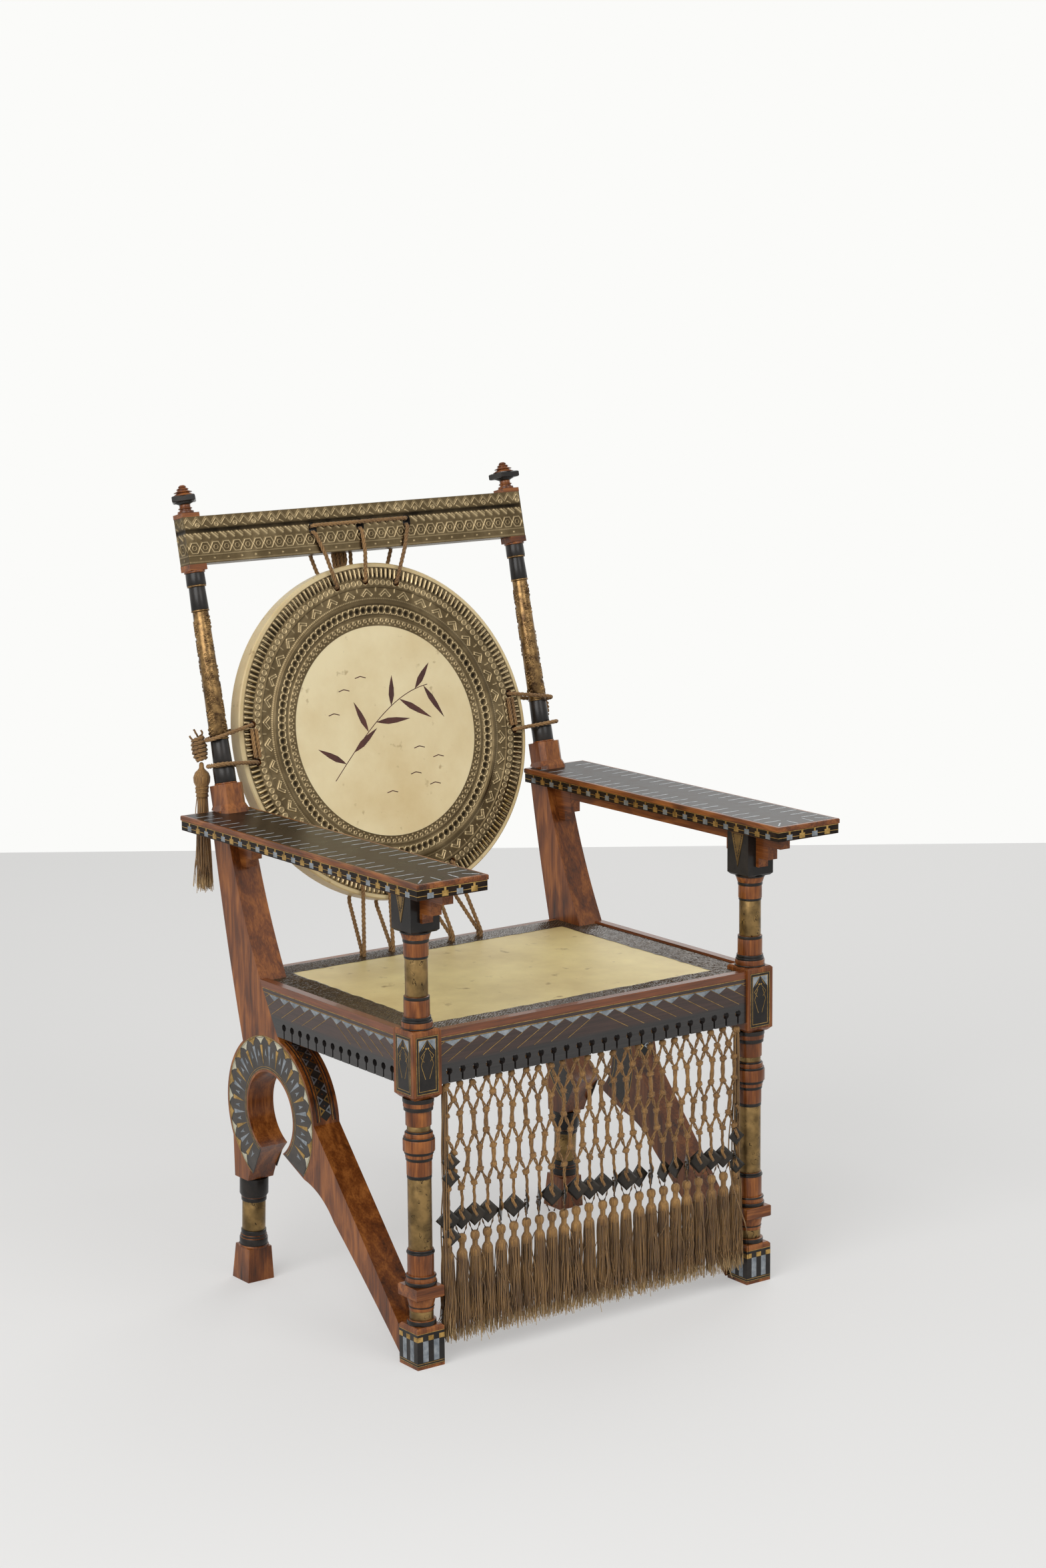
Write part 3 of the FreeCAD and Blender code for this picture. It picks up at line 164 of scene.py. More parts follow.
eye = Vector((camera_place[0], camera_place[1], 0))
outward = Vector((-np.sin(camera_yaw), np.cos(camera_yaw), 0))
aside = Vector((outward.y, -outward.x, 0))
wall_foot = eye + outward * wall_distance
near, across = eye - outward * floor_reach, aside * floor_reach
stage_plane("floor", [near - across, near + across, wall_foot + across, wall_foot - across],
            studio_paint("matt_floor_paint", floor_colour, floor_glow))
for name, (place, width, power) in lamps.items():
    lamp = bpy.data.lights.new(name, "AREA")
    lamp.shape = "SQUARE"
    lamp.size = width
    lamp.energy = power
    holder = bpy.data.objects.new(name, lamp)
    aim = (lamp_target - Vector(place)).to_track_quat("-Z", "Y").to_matrix().to_4x4()
    holder.matrix_world = Matrix.Translation(place) @ aim
    bpy.context.scene.collection.objects.link(holder)
room = bpy.data.worlds.new("white_room")
room.use_nodes = True
bpy.context.scene.world = room
level = add(room.node_tree, "MapRange",
            {"Value": seen_or_mirrored(room.node_tree), "To Min": room_light, "To Max": 1.0})
fill(room.node_tree.nodes["Background"], {"Color": paint("#fbfbf9"), "Strength": level})


# The front feet: square walnut blocks, each side inlaid with brass and pewter on a black ground.
# They carry the front turnings, and their bottom faces are what the chair stands on.
walnut_dark, walnut_mid, walnut_light = "#2d1507", "#6c3915", "#9d5f2b"
walnut_grain = 0.9 * mm
walnut_figure = 45 * mm
foot_line = 0.7
foot_line_levels = np.array((4.6, 7.6, 47.6))
foot_stripe_levels = (9.6, 37.6)
foot_check_levels = (37.8, 44.2)
foot_dark_levels = (4.0, 48.2)
plate_rise, plate_root = 0.2, 0.6
foot_stripes = 5


def walnut(name, along):
    """Walnut, sawn along one axis, stained red-brown and french polished: long dark pores show
    under a clear shine, and the colour drifts from plank to plank."""
    made, tree, place = new_finish(name)
    stretch = [1 / walnut_grain] * 3
    stretch[along] /= 26
    fine = add(tree, "Mapping", {"Vector": place, "Scale": stretch})
    pores = add(tree, "TexNoise", {"Vector": fine, "Scale": 0.42, "Detail": 4.0, "Roughness": 0.6})
    broad = [1 / walnut_figure] * 3
    broad[along] /= 5
    wide = add(tree, "Mapping", {"Vector": place, "Scale": broad})
    figure = add(tree, "TexNoise", {"Vector": wide, "Scale": 2.4, "Detail": 5.0, "Distortion": 0.9})
    grain = add(tree, "Math", {0: pores, 1: 0.55, 2: figure}, operation="MULTIPLY_ADD")
    tone = add(tree, "ValToRGB", {"Fac": grain},
               stops=((0.48, walnut_dark), (0.74, walnut_mid), (1.0, walnut_light)))
    gloss = add(tree, "MapRange", {"Value": pores, "To Min": 0.24, "To Max": 0.42})
    bump = add(tree, "Bump", {"Height": pores, "Strength": 0.12, "Distance": 0.3 * mm})
    return finished(made, {"Base Color": tone, "Roughness": gloss,
                           "Specular IOR Level": 0.3, "Coat Weight": 0.14, "Coat Roughness": 0.14,
                           "Normal": bump})


def ebonised(name="ebonised_wood", colour="#171412", worn="#2c2622"):
    """Wood stained black and polished: near black, a little brown where hands have rubbed it,
    with a soft shine broken by the grain."""
    made, tree, place = new_finish(name)
    rubbed = add(tree, "TexNoise", {"Vector": place, "Scale": 38.0, "Detail": 6.0, "Roughness": 0.65})
    tone = add(tree, "ValToRGB", {"Fac": rubbed}, stops=((0.42, colour), (0.72, worn)))
    gloss = add(tree, "MapRange", {"Value": rubbed, "To Min": 0.2, "To Max": 0.4})
    return finished(made, {"Base Color": tone, "Roughness": gloss, "Specular IOR Level": 0.3})


def inlaid_metal(name, bright, dull, roughness, metallic=1.0):
    """Sheet metal let into wood, scraped level and left to dull: patches of tarnish, fine scratches
    and a broad soft reflection."""
    made, tree, place = new_finish(name)
    tarnish = add(tree, "TexNoise", {"Vector": place, "Scale": 90.0, "Detail": 8.0, "Roughness": 0.7})
    tone = add(tree, "ValToRGB", {"Fac": tarnish}, stops=((0.38, dull), (0.64, bright)))
    bump = add(tree, "Bump", {"Height": tarnish, "Strength": 0.15, "Distance": 0.2 * mm})
    return finished(made, {"Base Color": tone, "Metallic": metallic, "Roughness": roughness, "Normal": bump})


walnut_upright = walnut("polished_walnut_upright", 2)
walnut_lengthways = walnut("polished_walnut_lengthways", 1)
walnut_crossways = walnut("polished_walnut_crossways", 0)
black_wood = ebonised()
brass = inlaid_metal("inlaid_brass", "#cda765", "#8d6f3c", 0.36)
pewter = inlaid_metal("inlaid_pewter", "#a3a9ae", "#767d84", 0.42, 0.85)


def clad(node, *finishes):
    """Gives a piece of the frame its own finishes."""
    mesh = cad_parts[node].data
    mesh.materials.clear()
    for finish in finishes:
        mesh.materials.append(finish)


def piece(name, parts, finishes, replaces=None, body="root", smooth=True, outwards=True):
    """Object from parts (points, faces, finish), finish being a number or one number for each face. It
    rides a body and may stand in for a node; closed shells are turned to face outwards."""
    points, faces, marks, start = [], [], [], 0
    for part_points, part_faces, finish in parts:
        points.append(np.reshape(part_points, (-1, 3)))
        faces.extend([[corner + start for corner in face] for face in part_faces])
        marks.extend(finish if isinstance(finish, list) else [finish] * len(part_faces))
        start += len(points[-1])
    mesh = bpy.data.meshes.new(name)
    mesh.from_pydata(np.concatenate(points).tolist(), [], faces)
    for finish in finishes:
        mesh.materials.append(finish)
    mesh.polygons.foreach_set("material_index", np.array(marks, dtype=np.int32))
    if outwards:
        shell = bmesh.new()
        shell.from_mesh(mesh)
        bmesh.ops.recalc_face_normals(shell, faces=shell.faces)
        shell.to_mesh(mesh)
        shell.free()
    mesh.polygons.foreach_set("use_smooth", np.full(len(mesh.polygons), smooth))
    made = bpy.data.objects.new(name, mesh)
    bpy.context.scene.collection.objects.link(made)
    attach(made, body)
    if replaces:
        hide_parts(replaces)
    return made


def plates(outlines, place, finish, high=plate_rise, low=-plate_root):
    """Part of thin plates, in millimetres: each row of outlines holds one plate's corners; place turns
    metres (along, up, height) into points, and each plate is the prism between the two heights."""
    outlines = np.asarray(outlines, dtype=float) * mm
    count, corners = outlines.shape[:2]
    ends = [place(outlines[..., 0], outlines[..., 1], np.full((count, corners), h * mm)) for h in (low, high)]
    points = np.concatenate(ends, axis=1)
    start = np.arange(count)[:, None] * corners * 2
    ring = np.arange(corners)
    ahead = np.roll(ring, -1)
    top = start + corners + ring
    bottom = start + ring[::-1]
    sides = np.stack([start + ring, start + ahead, start + corners + ahead, start + corners + ring], axis=-1)
    return points, top.tolist() + bottom.tolist() + sides.reshape(-1, 4).tolist(), finish


def on_plane(corner, along, up):
    """Placing function of a flat face: corner plus along and up, lifted on their cross product."""
    corner, along, up = (np.asarray(v, dtype=float) for v in (corner, along, up))
    out = np.cross(along, up)
    return lambda u, v, h: corner + u[..., None] * along + v[..., None] * up + h[..., None] * out


def bars(lefts, rights, lows, highs):
    """Outlines of upright rectangles, one for each set of values."""
    lefts, rights, lows, highs = np.broadcast_arrays(lefts, rights, lows, highs)
    return np.stack([np.stack([lefts, lows], -1), np.stack([rights, lows], -1),
                     np.stack([rights, highs], -1), np.stack([lefts, highs], -1)], axis=-2)


def frame_bars(left, right, low, high, width):
    """Outlines of the four bars of a rectangular frame."""
    return bars(np.array([left, left, left, right - width]), np.array([right, right, left + width, right]),
                np.array([low, high - width, low + width, low + width]),
                np.array([low + width, high, high - width, high - width]))


def inlay(name, parts, finishes=(black_wood, brass, pewter)):
    """One object from plates of several finishes: black ground, brass and pewter unless told."""
    piece(name, parts, finishes, smooth=False)


def block_sides(node):
    """Placing functions of a block's four upright sides, its width and its height in millimetres."""
    low, high = (np.array(corner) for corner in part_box(node))
    sides = []
    for corner, along in (((low[0], low[1]), (1, 0, 0)), ((high[0], low[1]), (0, 1, 0)),
                          ((high[0], high[1]), (-1, 0, 0)), ((low[0], high[1]), (0, -1, 0))):
        sides.append(on_plane((*corner, low[2]), along, (0, 0, 1)))
    return sides, (high[0] - low[0]) / mm, (high[2] - low[2]) / mm


for side in ("left", "right"):
    clad(side + "_front_foot", walnut_upright)
    sides, width, _ = block_sides(side + "_front_foot")
    share = width / foot_stripes
    columns = np.arange(foot_stripes) * share
    parts = []
    for place in sides:
        parts.append(plates(bars(0.0, width, *foot_dark_levels)[None], place, 0, plate_rise / 2))
        parts.append(plates(bars(0.0, width, foot_line_levels, foot_line_levels + foot_line), place, 1))
        parts.append(plates(bars(columns[1::2], columns[1::2] + share, *foot_stripe_levels), place, 2))
        parts.append(plates(bars(columns[::2], columns[::2] + share, *foot_check_levels), place, 1))
    inlay(side + "_foot_inlay", parts)


# The front turnings: walnut spindles with black rings, and thin brass tubes slipped over their necks.
# One runs from the foot to the seat block, with a square collar low down, the other up to the capital.
lower_turning = (
    (61.5, 19.3, 19.3, 1), (74.0, 15.0, 15.0, 0), (78.6, 16.4, 16.4, 0), (80.2, 17.2, 17.2, 1),
    (92.0, 16.6, 18.9, 0), (108.0, 18.0, 18.0, 0), (110.0, 19.6, 19.6, 1), (113.7, 21.0, 21.0, 1),
    (119.6, 19.4, 19.4, 0), (121.8, 20.3, 19.7, 1), (150.6, 17.3, 17.3, 0), (153.2, 18.4, 18.4, 1),
    (156.0, 17.2, 17.2, 1), (250.6, 14.9, 14.9, 0), (255.0, 16.2, 16.2, 1), (274.7, 16.5, 16.5, 0),
    (278.4, 17.4, 17.4, 1), (283.4, 18.0, 18.0, 0), (287.0, 19.2, 19.2, 1), (303.0, 20.9, 20.9, 0),
    (306.0, 20.0, 20.0, 1), (311.8, 18.3, 18.3, 0), (313.8, 16.2, 16.2, 1), (321.0, 14.4, 14.4, 0),
    (341.0, 16.9, 16.9, 0), (346.0, 19.1, 19.1, 1), (352.0, 19.8, 19.8, 0), (357.6, 20.4, 20.4, 1),
)
arm_turning = (
    (450.6, 20.9, 20.9, 1), (457.6, 20.2, 20.2, 0), (460.6, 19.1, 19.1, 1), (464.5, 18.2, 18.2, 1),
    (486.4, 16.9, 16.9, 0), (490.5, 16.8, 16.8, 1), (540.0, 14.1, 14.1, 0), (543.0, 15.6, 15.6, 1),
    (561.0, 16.2, 16.2, 0), (565.0, 17.0, 17.0, 1), (573.0, 17.3, 19.5, 0), (575.0, 20.4, 20.4, 1),
)
arm_turning_start = 448.7
collar_levels, collar_half, collar_edge = (92.0, 108.0), 21.5, 1.2
sleeve_levels = ((61.5, 74.0, 15.8), (156.0, 250.6, 15.6), (313.8, 321.0, 15.2), (490.5, 540.0, 14.8))
sleeve_thickness = 0.7 * mm
edge_round = 0.55 * mm
turning_sides = 56


def quads(rows, columns, wrap):
    """Corner numbers of a grid's quads, row after row; wrap joins the last column to the first."""
    row = np.arange(rows - 1)[:, None] * columns
    column = np.arange(columns if wrap else columns - 1)[None, :]
    ahead = (column + 1) % columns
    return np.stack([row + column, row + ahead, row + columns + ahead, row + columns + column],
                    axis=-1).reshape(-1, 4)


def axis_frame(foot, top):
    """Middle of a turning's foot and three unit directions: two across it and one along it."""
    foot, top = np.asarray(foot, dtype=float), np.asarray(top, dtype=float)
    along = (top - foot) / np.linalg.norm(top - foot)
    across = np.cross(along, (0, 1, 0) if abs(along[1]) < 0.9 else (1, 0, 0))
    across /= np.linalg.norm(across)
    return foot, across, np.cross(along, across), along


def revolved(levels, radii, foot, top, sides=turning_sides):
    """Points of a turned surface: a circle of each radius at each level along the axis."""
    start, first, second, along = axis_frame(foot, top)
    angle = np.linspace(0, 2 * np.pi, sides, endpoint=False)
    ring = np.cos(angle)[:, None] * first + np.sin(angle)[:, None] * second
    return start + np.asarray(levels)[:, None, None] * along + np.asarray(radii)[:, None, None] * ring


def capped(rows, columns):
    """Faces of a wrapped grid, closed at both ends."""
    ends = [list(range(columns))[::-1], list(range((rows - 1) * columns, rows * columns))]
    return quads(rows, columns, True).tolist() + ends


def turning(name, bands, start, foot, top, finishes, replaces):
    """Turned piece: each band (level, low radius, high radius, finish) runs straight between its
    radii, and its two ends are rounded over the edge radius or a third of the band."""
    bands = np.array(bands, dtype=float)
    ends, low, high = bands[:, :3].T * mm
    begins = np.concatenate([[start * mm], ends[:-1]])
    edge = np.minimum(edge_round, (ends - begins) / 3)
    levels = np.stack([begins, begins + 0.3 * edge, begins + edge, ends - edge, ends - 0.3 * edge, ends], 1)
    radii = np.stack([low - edge, low - 0.3 * edge, low, high, high - 0.3 * edge, high - edge], 1)
    points = revolved(levels.ravel(), radii.ravel(), foot, top)
    marks = np.repeat(np.repeat(bands[:, 3].astype(int), 6)[1:], turning_sides).tolist()
    solid = (points, capped(levels.size, turning_sides), marks + [marks[0], marks[-1]])
    piece(name, [solid], finishes, replaces)


def engraved_brass(name="engraved_brass", bright="#917549", dull="#665233", line="#251c12"):
    """Thin brass tube, hammered round the neck and engraved with leaf scrolls filled with black:
    dark curling lines on worn, slightly dented metal."""
    made, tree, place = new_finish(name)
    drift = add(tree, "TexNoise", {"Vector": place, "Scale": 34.0, "Detail": 2.0, "Distortion": 2.2})
    scroll = add(tree, "Math", {0: drift, 1: 5.0}, operation="MULTIPLY")
    scroll = add(tree, "Math", {0: scroll, 1: 1.0}, operation="PINGPONG")
    cut = add(tree, "MapRange", {"Value": scroll, "From Min": 0.01, "From Max": 0.06})
    tarnish = add(tree, "TexNoise", {"Vector": place, "Scale": 60.0, "Detail": 5.0})
    metal = add(tree, "ValToRGB", {"Fac": tarnish}, stops=((0.36, dull), (0.62, bright)))
    tone = add(tree, "Mix", {0: cut, 6: paint(line), 7: metal}, data_type="RGBA")
    bump = add(tree, "Bump", {"Height": cut, "Strength": 0.5, "Distance": 0.3 * mm})
    dents = add(tree, "Bump", {"Height": drift, "Normal": bump, "Strength": 0.25, "Distance": 1.5 * mm})
    return finished(made, {"Base Color": tone.outputs[2], "Metallic": 0.85, "Roughness": 0.4,
                           "Normal": dents})


def metal_tube(low, high, low_radius, high_radius, foot, top):
    """Part of a thin tube, measured in millimetres: its rims turn in over the wall, and its inner wall
    joins its last ring of points to its first."""
    low, high, low_radius, high_radius = low * mm, high * mm, low_radius * mm, high_radius * mm
    levels = np.array([low, low, low + edge_round, high - edge_round, high, high])
    radii = np.array([low_radius - sleeve_thickness, low_radius - edge_round / 2, low_radius,
                      high_radius, high_radius - edge_round / 2, high_radius - sleeve_thickness])
    faces = quads(len(levels) + 1, turning_sides, True) % (len(levels) * turning_sides)
    return revolved(levels, radii, foot, top), faces.tolist(), 0


sleeve_brass = engraved_brass()
sleeve_parts = {}
for side in ("left", "right"):
    low, high = (np.array(corner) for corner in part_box(side + "_front_foot"))
    foot = np.array([(low[0] + high[0]) / 2, (low[1] + high[1]) / 2, 0])
    top = foot + (0, 0, 1)
    woods = [walnut_upright, black_wood]
    turning(side + "_front_turning", lower_turning, high[2] / mm, foot, top, woods, side + "_front_post")
    inset = np.array((1, 0, 0, 1)) * collar_edge
    levels = np.repeat(collar_levels, 2) + (0, collar_edge, -collar_edge, 0)
    corners = np.array([(-1, -1), (1, -1), (1, 1), (-1, 1)]) * (collar_half - inset)[:, None, None]
    collar = foot + np.concatenate([corners, np.broadcast_to(levels[:, None, None], (4, 4, 1))], -1) * mm
    piece(side + "_foot_collar", [(collar, capped(4, 4), 0)], [walnut_crossways], smooth=False)
    turning(side + "_arm_turning", arm_turning, arm_turning_start, foot, top, woods, side + "_arm_post")
    sleeve_parts[side] = [metal_tube(low, high, radius, radius, foot, top)
                          for low, high, radius in sleeve_levels]


# The blocks at seat height: walnut, each with a black panel let into its outer and front faces. In the
# panel, brass lines frame a dark tent under a pewter sky, with two wedges for its roof.
panel_ground = (4.7, 39.3, 7.6, 83.8)
panel_frames = ((5.2, 38.8, 8.2, 83.2), (8.6, 35.4, 11.8, 79.6))
panel_line, panel_stroke, panel_dot_radius = 0.7, 0.6, 1.3
panel_sky = ((9.3, 78.9), (21.6, 78.9), (9.3, 64.0))
panel_wedge = ((21.7, 78.2), (12.4, 65.2), (16.7, 69.4))
panel_dot = (20.2, 67.6)
panel_lines = (((19.4, 65.6), (12.0, 57.6)), ((12.0, 57.6), (17.2, 50.4)), ((17.8, 61.4), (12.4, 46.8)),
               ((12.4, 46.8), (18.9, 27.6)))
block_middle = 22.0
dot_sides = 10


def strokes(starts, ends, width):
    """Outlines of straight lines: each pair of ends widened by half the width on both sides."""
    starts, ends = np.asarray(starts, dtype=float), np.asarray(ends, dtype=float)
    along = ends - starts
    along /= np.linalg.norm(along, axis=-1, keepdims=True)
    side = np.stack([-along[..., 1], along[..., 0]], -1) * width / 2
    return np.stack([starts - side, ends - side, ends + side, starts + side], axis=-2)


def dots(middles, radius, sides=dot_sides):
    """Outlines of small round plates."""
    angle = np.linspace(0, 2 * np.pi, sides, endpoint=False)
    ring = np.stack([np.cos(angle), np.sin(angle)], -1) * radius
    return np.asarray(middles, dtype=float)[:, None, :] + ring


def both_ways(outlines, middle):
    """The outlines and their mirror images about an upright middle line."""
    outlines = np.asarray(outlines, dtype=float)
    other = outlines * (-1, 1) + (2 * middle, 0)
    return np.concatenate([outlines, other])


for side, outer in (("left", 3), ("right", 1)):
    clad(side + "_seat_block", walnut_upright)
    sides, _, _ = block_sides(side + "_seat_block")
    parts = []
    for place in (sides[0], sides[outer]):
        parts.append(plates(bars(*panel_ground)[None], place, 0, plate_rise / 2))
        for edges in panel_frames:
            parts.append(plates(frame_bars(*edges, panel_line), place, 1))
        parts.append(plates(both_ways([panel_sky], block_middle), place, 2))
        parts.append(plates(both_ways([panel_wedge], block_middle), place, 1, 1.5 * plate_rise))
        parts.append(plates(dots(both_ways([[panel_dot]], block_middle)[:, 0], panel_dot_radius), place, 1))
        lines = strokes(*np.swapaxes(panel_lines, 0, 1), panel_stroke)
        parts.append(plates(both_ways(lines, block_middle), place, 1))
    inlay(side + "_block_inlay", parts)


# The capitals: ebonised eight-sided blocks under the arms. A pointed brass plaque, punched with a row
# of holes along its edges, hangs down each of the two sides; the corbels beside it are plain walnut.
plaque_half_width = 14.3
plaque_length = 51.7
plaque_inset = 3.4
plaque_hole, plaque_line = 0.75, 0.5
plaque_holes = 9


def plaque_outlines(middle, high):
    """A plaque's outline and, inside its two long edges and its top, the rows of its holes."""
    tip = np.array([middle, high - plaque_length])
    corners = np.array([[middle - plaque_half_width, high], [middle + plaque_half_width, high]])
    share = np.linspace(0.08, 0.86, plaque_holes)[:, None]
    centre = np.array([middle, high - plaque_length / 3])
    rows = []
    for corner in corners:
        start, end = (point + (centre - point) * plaque_inset / 11 for point in (corner, tip))
        rows.append(start + (end - start) * share)
    inner = [point + (centre - point) * plaque_inset / 9 for point in (*corners, tip)]
    return np.array([[tip, corners[1], corners[0]]]), np.concatenate(rows), np.array(inner)


for side in ("left", "right"):
    clad(side + "_capital", black_wood)
    for node in ("_arm_corbels", "_arm_under_rail"):
        clad(side + node, walnut_lengthways)
    sides, width, height = block_sides(side + "_capital")
    outline, holes, inner = plaque_outlines(width / 2, height)
    parts = []
    for place in (sides[1], sides[3]):
        parts.append(plates(outline, place, 1, 3 * plate_rise))
        parts.append(plates(dots(holes, plaque_hole), place, 0, 4 * plate_rise))
        lines = strokes(inner, np.roll(inner, -1, axis=0), plaque_line)
        parts.append(plates(lines, place, 0, 3.6 * plate_rise))
    inlay(side + "_capital_plaques", parts, [black_wood, sleeve_brass])


# The arms: broad walnut boards with a polished dark panel on top. Pewter dashes slope in along its
# edges, and the black band round each board has squares on short stems, brass and pewter by turns.
lip_width = 5.2
dash_length, dash_width, dash_inset = 29.0, 2.5, 1.8
first_dash, last_dash, band_inset = 32.0, 20.0, 1.2
edge_pitch = 22.0
band_line = (12.3, 13.1)
stem_width, stem_low = 3.2, 8.4
square_width, square_low = 9.6, 1.4
square_thread = 0.8


def dash(starts, ways):
    """Outlines of long thin dashes, swelling twice along their length as a gouge leaves them."""
    profile = np.array([(0, -0.3), (0.3, -0.5), (0.55, -0.28), (0.8, -0.5), (1, -0.3),
                        (1, 0.25), (0.7, 0.5), (0.48, 0.3), (0.22, 0.5), (0, 0.3)])
    starts, ways = np.asarray(starts, dtype=float), np.asarray(ways, dtype=float)
    length = np.linalg.norm(ways, axis=-1, keepdims=True)
    side = np.stack([-ways[:, 1], ways[:, 0]], -1) / length
    return (starts[:, None] + profile[None, :, :1] * ways[:, None]
            + profile[None, :, 1:] * dash_width * side[:, None])


def edge_band(length, pitch, first):
    """Plates of one side of the band, from its start: ground, brass line, thread, stems and squares."""
    count = int((length - 2 * first) / pitch + 1.5)
    middles = (length - (count - 1) * pitch) / 2 + np.arange(count) * pitch
    kind = np.arange(count) % 2
    found = [(bars(0.0, length, 0.2, 13.4)[None], plate_rise / 2, 0),
             (bars(0.0, length, *band_line)[None], plate_rise, 1),
             (bars(0.0, length, 4.7, 4.7 + square_thread)[None], plate_rise * 0.8, 1)]
    for turn in (0, 1):
        here = middles[kind == turn]
        stems = bars(here - stem_width / 2, here + stem_width / 2, stem_low, band_line[0])
        squares = bars(here - square_width / 2, here + square_width / 2, square_low, stem_low)
        found.append((stems, plate_rise, 2 - turn if turn else 1))
        found.append((squares, plate_rise, 1 if turn else 2))
    return found


arm_panel = finished(ebonised("polished_dark_panel", "#17110c", "#32241a"), {"Specular IOR Level": 0.12})
dash_pewter = inlaid_metal("worn_pewter_dashes", "#c2c7ca", "#8b9196", 0.5, 0.35)
for side in ("left", "right"):
    clad(side + "_arm", walnut_lengthways)
    low, high = (np.array(corner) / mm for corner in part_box(side + "_arm"))
    width, length = high[0] - low[0], high[1] - low[1]
    top = on_plane(low * (mm, mm, 0) + (0, 0, high[2] * mm), (1, 0, 0), (0, 1, 0))
    panel = bars(lip_width, width - lip_width, lip_width, length - lip_width)[None]
    parts = [plates(panel, top, 0, plate_rise / 2)]
    rows = np.arange(lip_width + first_dash, length - lip_width - last_dash, edge_pitch)
    near, far = lip_width + dash_inset, width - lip_width - dash_inset
    starts = [np.column_stack([np.full_like(rows, edge), rows]) for edge in (near, far)]
    ways = [np.tile([reach, 0], (len(rows), 1)) for reach in (dash_length, -dash_length)]
    across = near + (far - near) * np.array([0.36, 0.64])
    starts.append(np.column_stack([across, np.full(2, near)]))
    ways.append(np.tile([0, 0.8 * dash_length], (2, 1)))
    starts.append([(near + 1, near + 1), (far - 1, near + 1)])
    ways.append([(0.55 * dash_length, 0.55 * dash_length), (-0.55 * dash_length, 0.55 * dash_length)])
    dashes = dash(np.concatenate(starts), np.concatenate(ways))
    parts.append(plates(dashes, top, 3))
    (left, front), (right, back) = low[:2] + band_inset, high[:2] - band_inset
    for corner, along, reach in (((left, front), (1, 0, 0), width), ((right, front), (0, 1, 0), length),
                                 ((right, back), (-1, 0, 0), width), ((left, back), (0, -1, 0), length)):
        place = on_plane(np.array([*corner, low[2]]) * mm, along, (0, 0, 1))
        for outlines, rise, finish in edge_band(reach - 2 * band_inset, edge_pitch, edge_pitch * 0.75):
            parts.append(plates(outlines, place, finish, rise))
    inlay(side + "_arm_inlay", parts, [arm_panel, brass, pewter, dash_pewter])


# The side frames: one walnut board each, with the raking plank, the ring and the strut. Round the ring
# lies a crescent of dark wood, set with bone, brass and pewter, and the ring's edge has a chequered band.
ring_middle = np.array((99.19, 260.0))
crescent_span = (-61.0, 218.0)
crescent_cells = 22
crescent_edges = ((106.9, 107.7, 1), (104.7, 105.2, 0), (64.6, 65.2, 1), (61.6, 62.2, 1))
scallop = ((105.9, -5.7), (101.4, -2.3), (96.4, 0.0), (101.4, 2.3), (105.9, 5.7), (106.6, 0.0))
spike = ((95.0, -1.9), (95.0, 1.9), (66.5, 0.0))
petal_mark = ((90.5, 0.0), (79.0, -1.9), (81.5, 0.0), (79.0, 1.9))
rim_span = (107.0, 174.0)
rim_squares, rim_radius, rim_half_width = 9, 111.0, 8.2
rim_lines = ((9.0, 10.2, 0), (10.2, 11.0, 1), (13.2, 15.0, 0))
post_x, outer_face, inner_face = 270.0, 290.5, 249.5
crescent_steps, inner_steps = 96, 60
inner_lines = ((106.9, 107.7, 1), (102.6, 103.2, 1), (65.0, 65.6, 1))


def polar(rows, turns=(0.0,)):
    """Points (y, z) of (radius, degrees) outlines about the ring's middle, one copy for each turn."""
    rows = np.asarray(rows, dtype=float)
    angle = np.radians(rows[:, 1] + np.asarray(turns)[:, None])
    return ring_middle + rows[:, 0, None] * np.stack([np.cos(angle), np.sin(angle)], -1)


def arc_band(inner, outer, start, end, steps):
    """Outlines of the short pieces that make a curved strip about the ring's middle."""
    turns = np.linspace(start, end, steps + 1)
    step = turns[1] - turns[0]
    return polar([(inner, 0), (outer, 0), (outer, step), (inner, step)], turns[:-1])


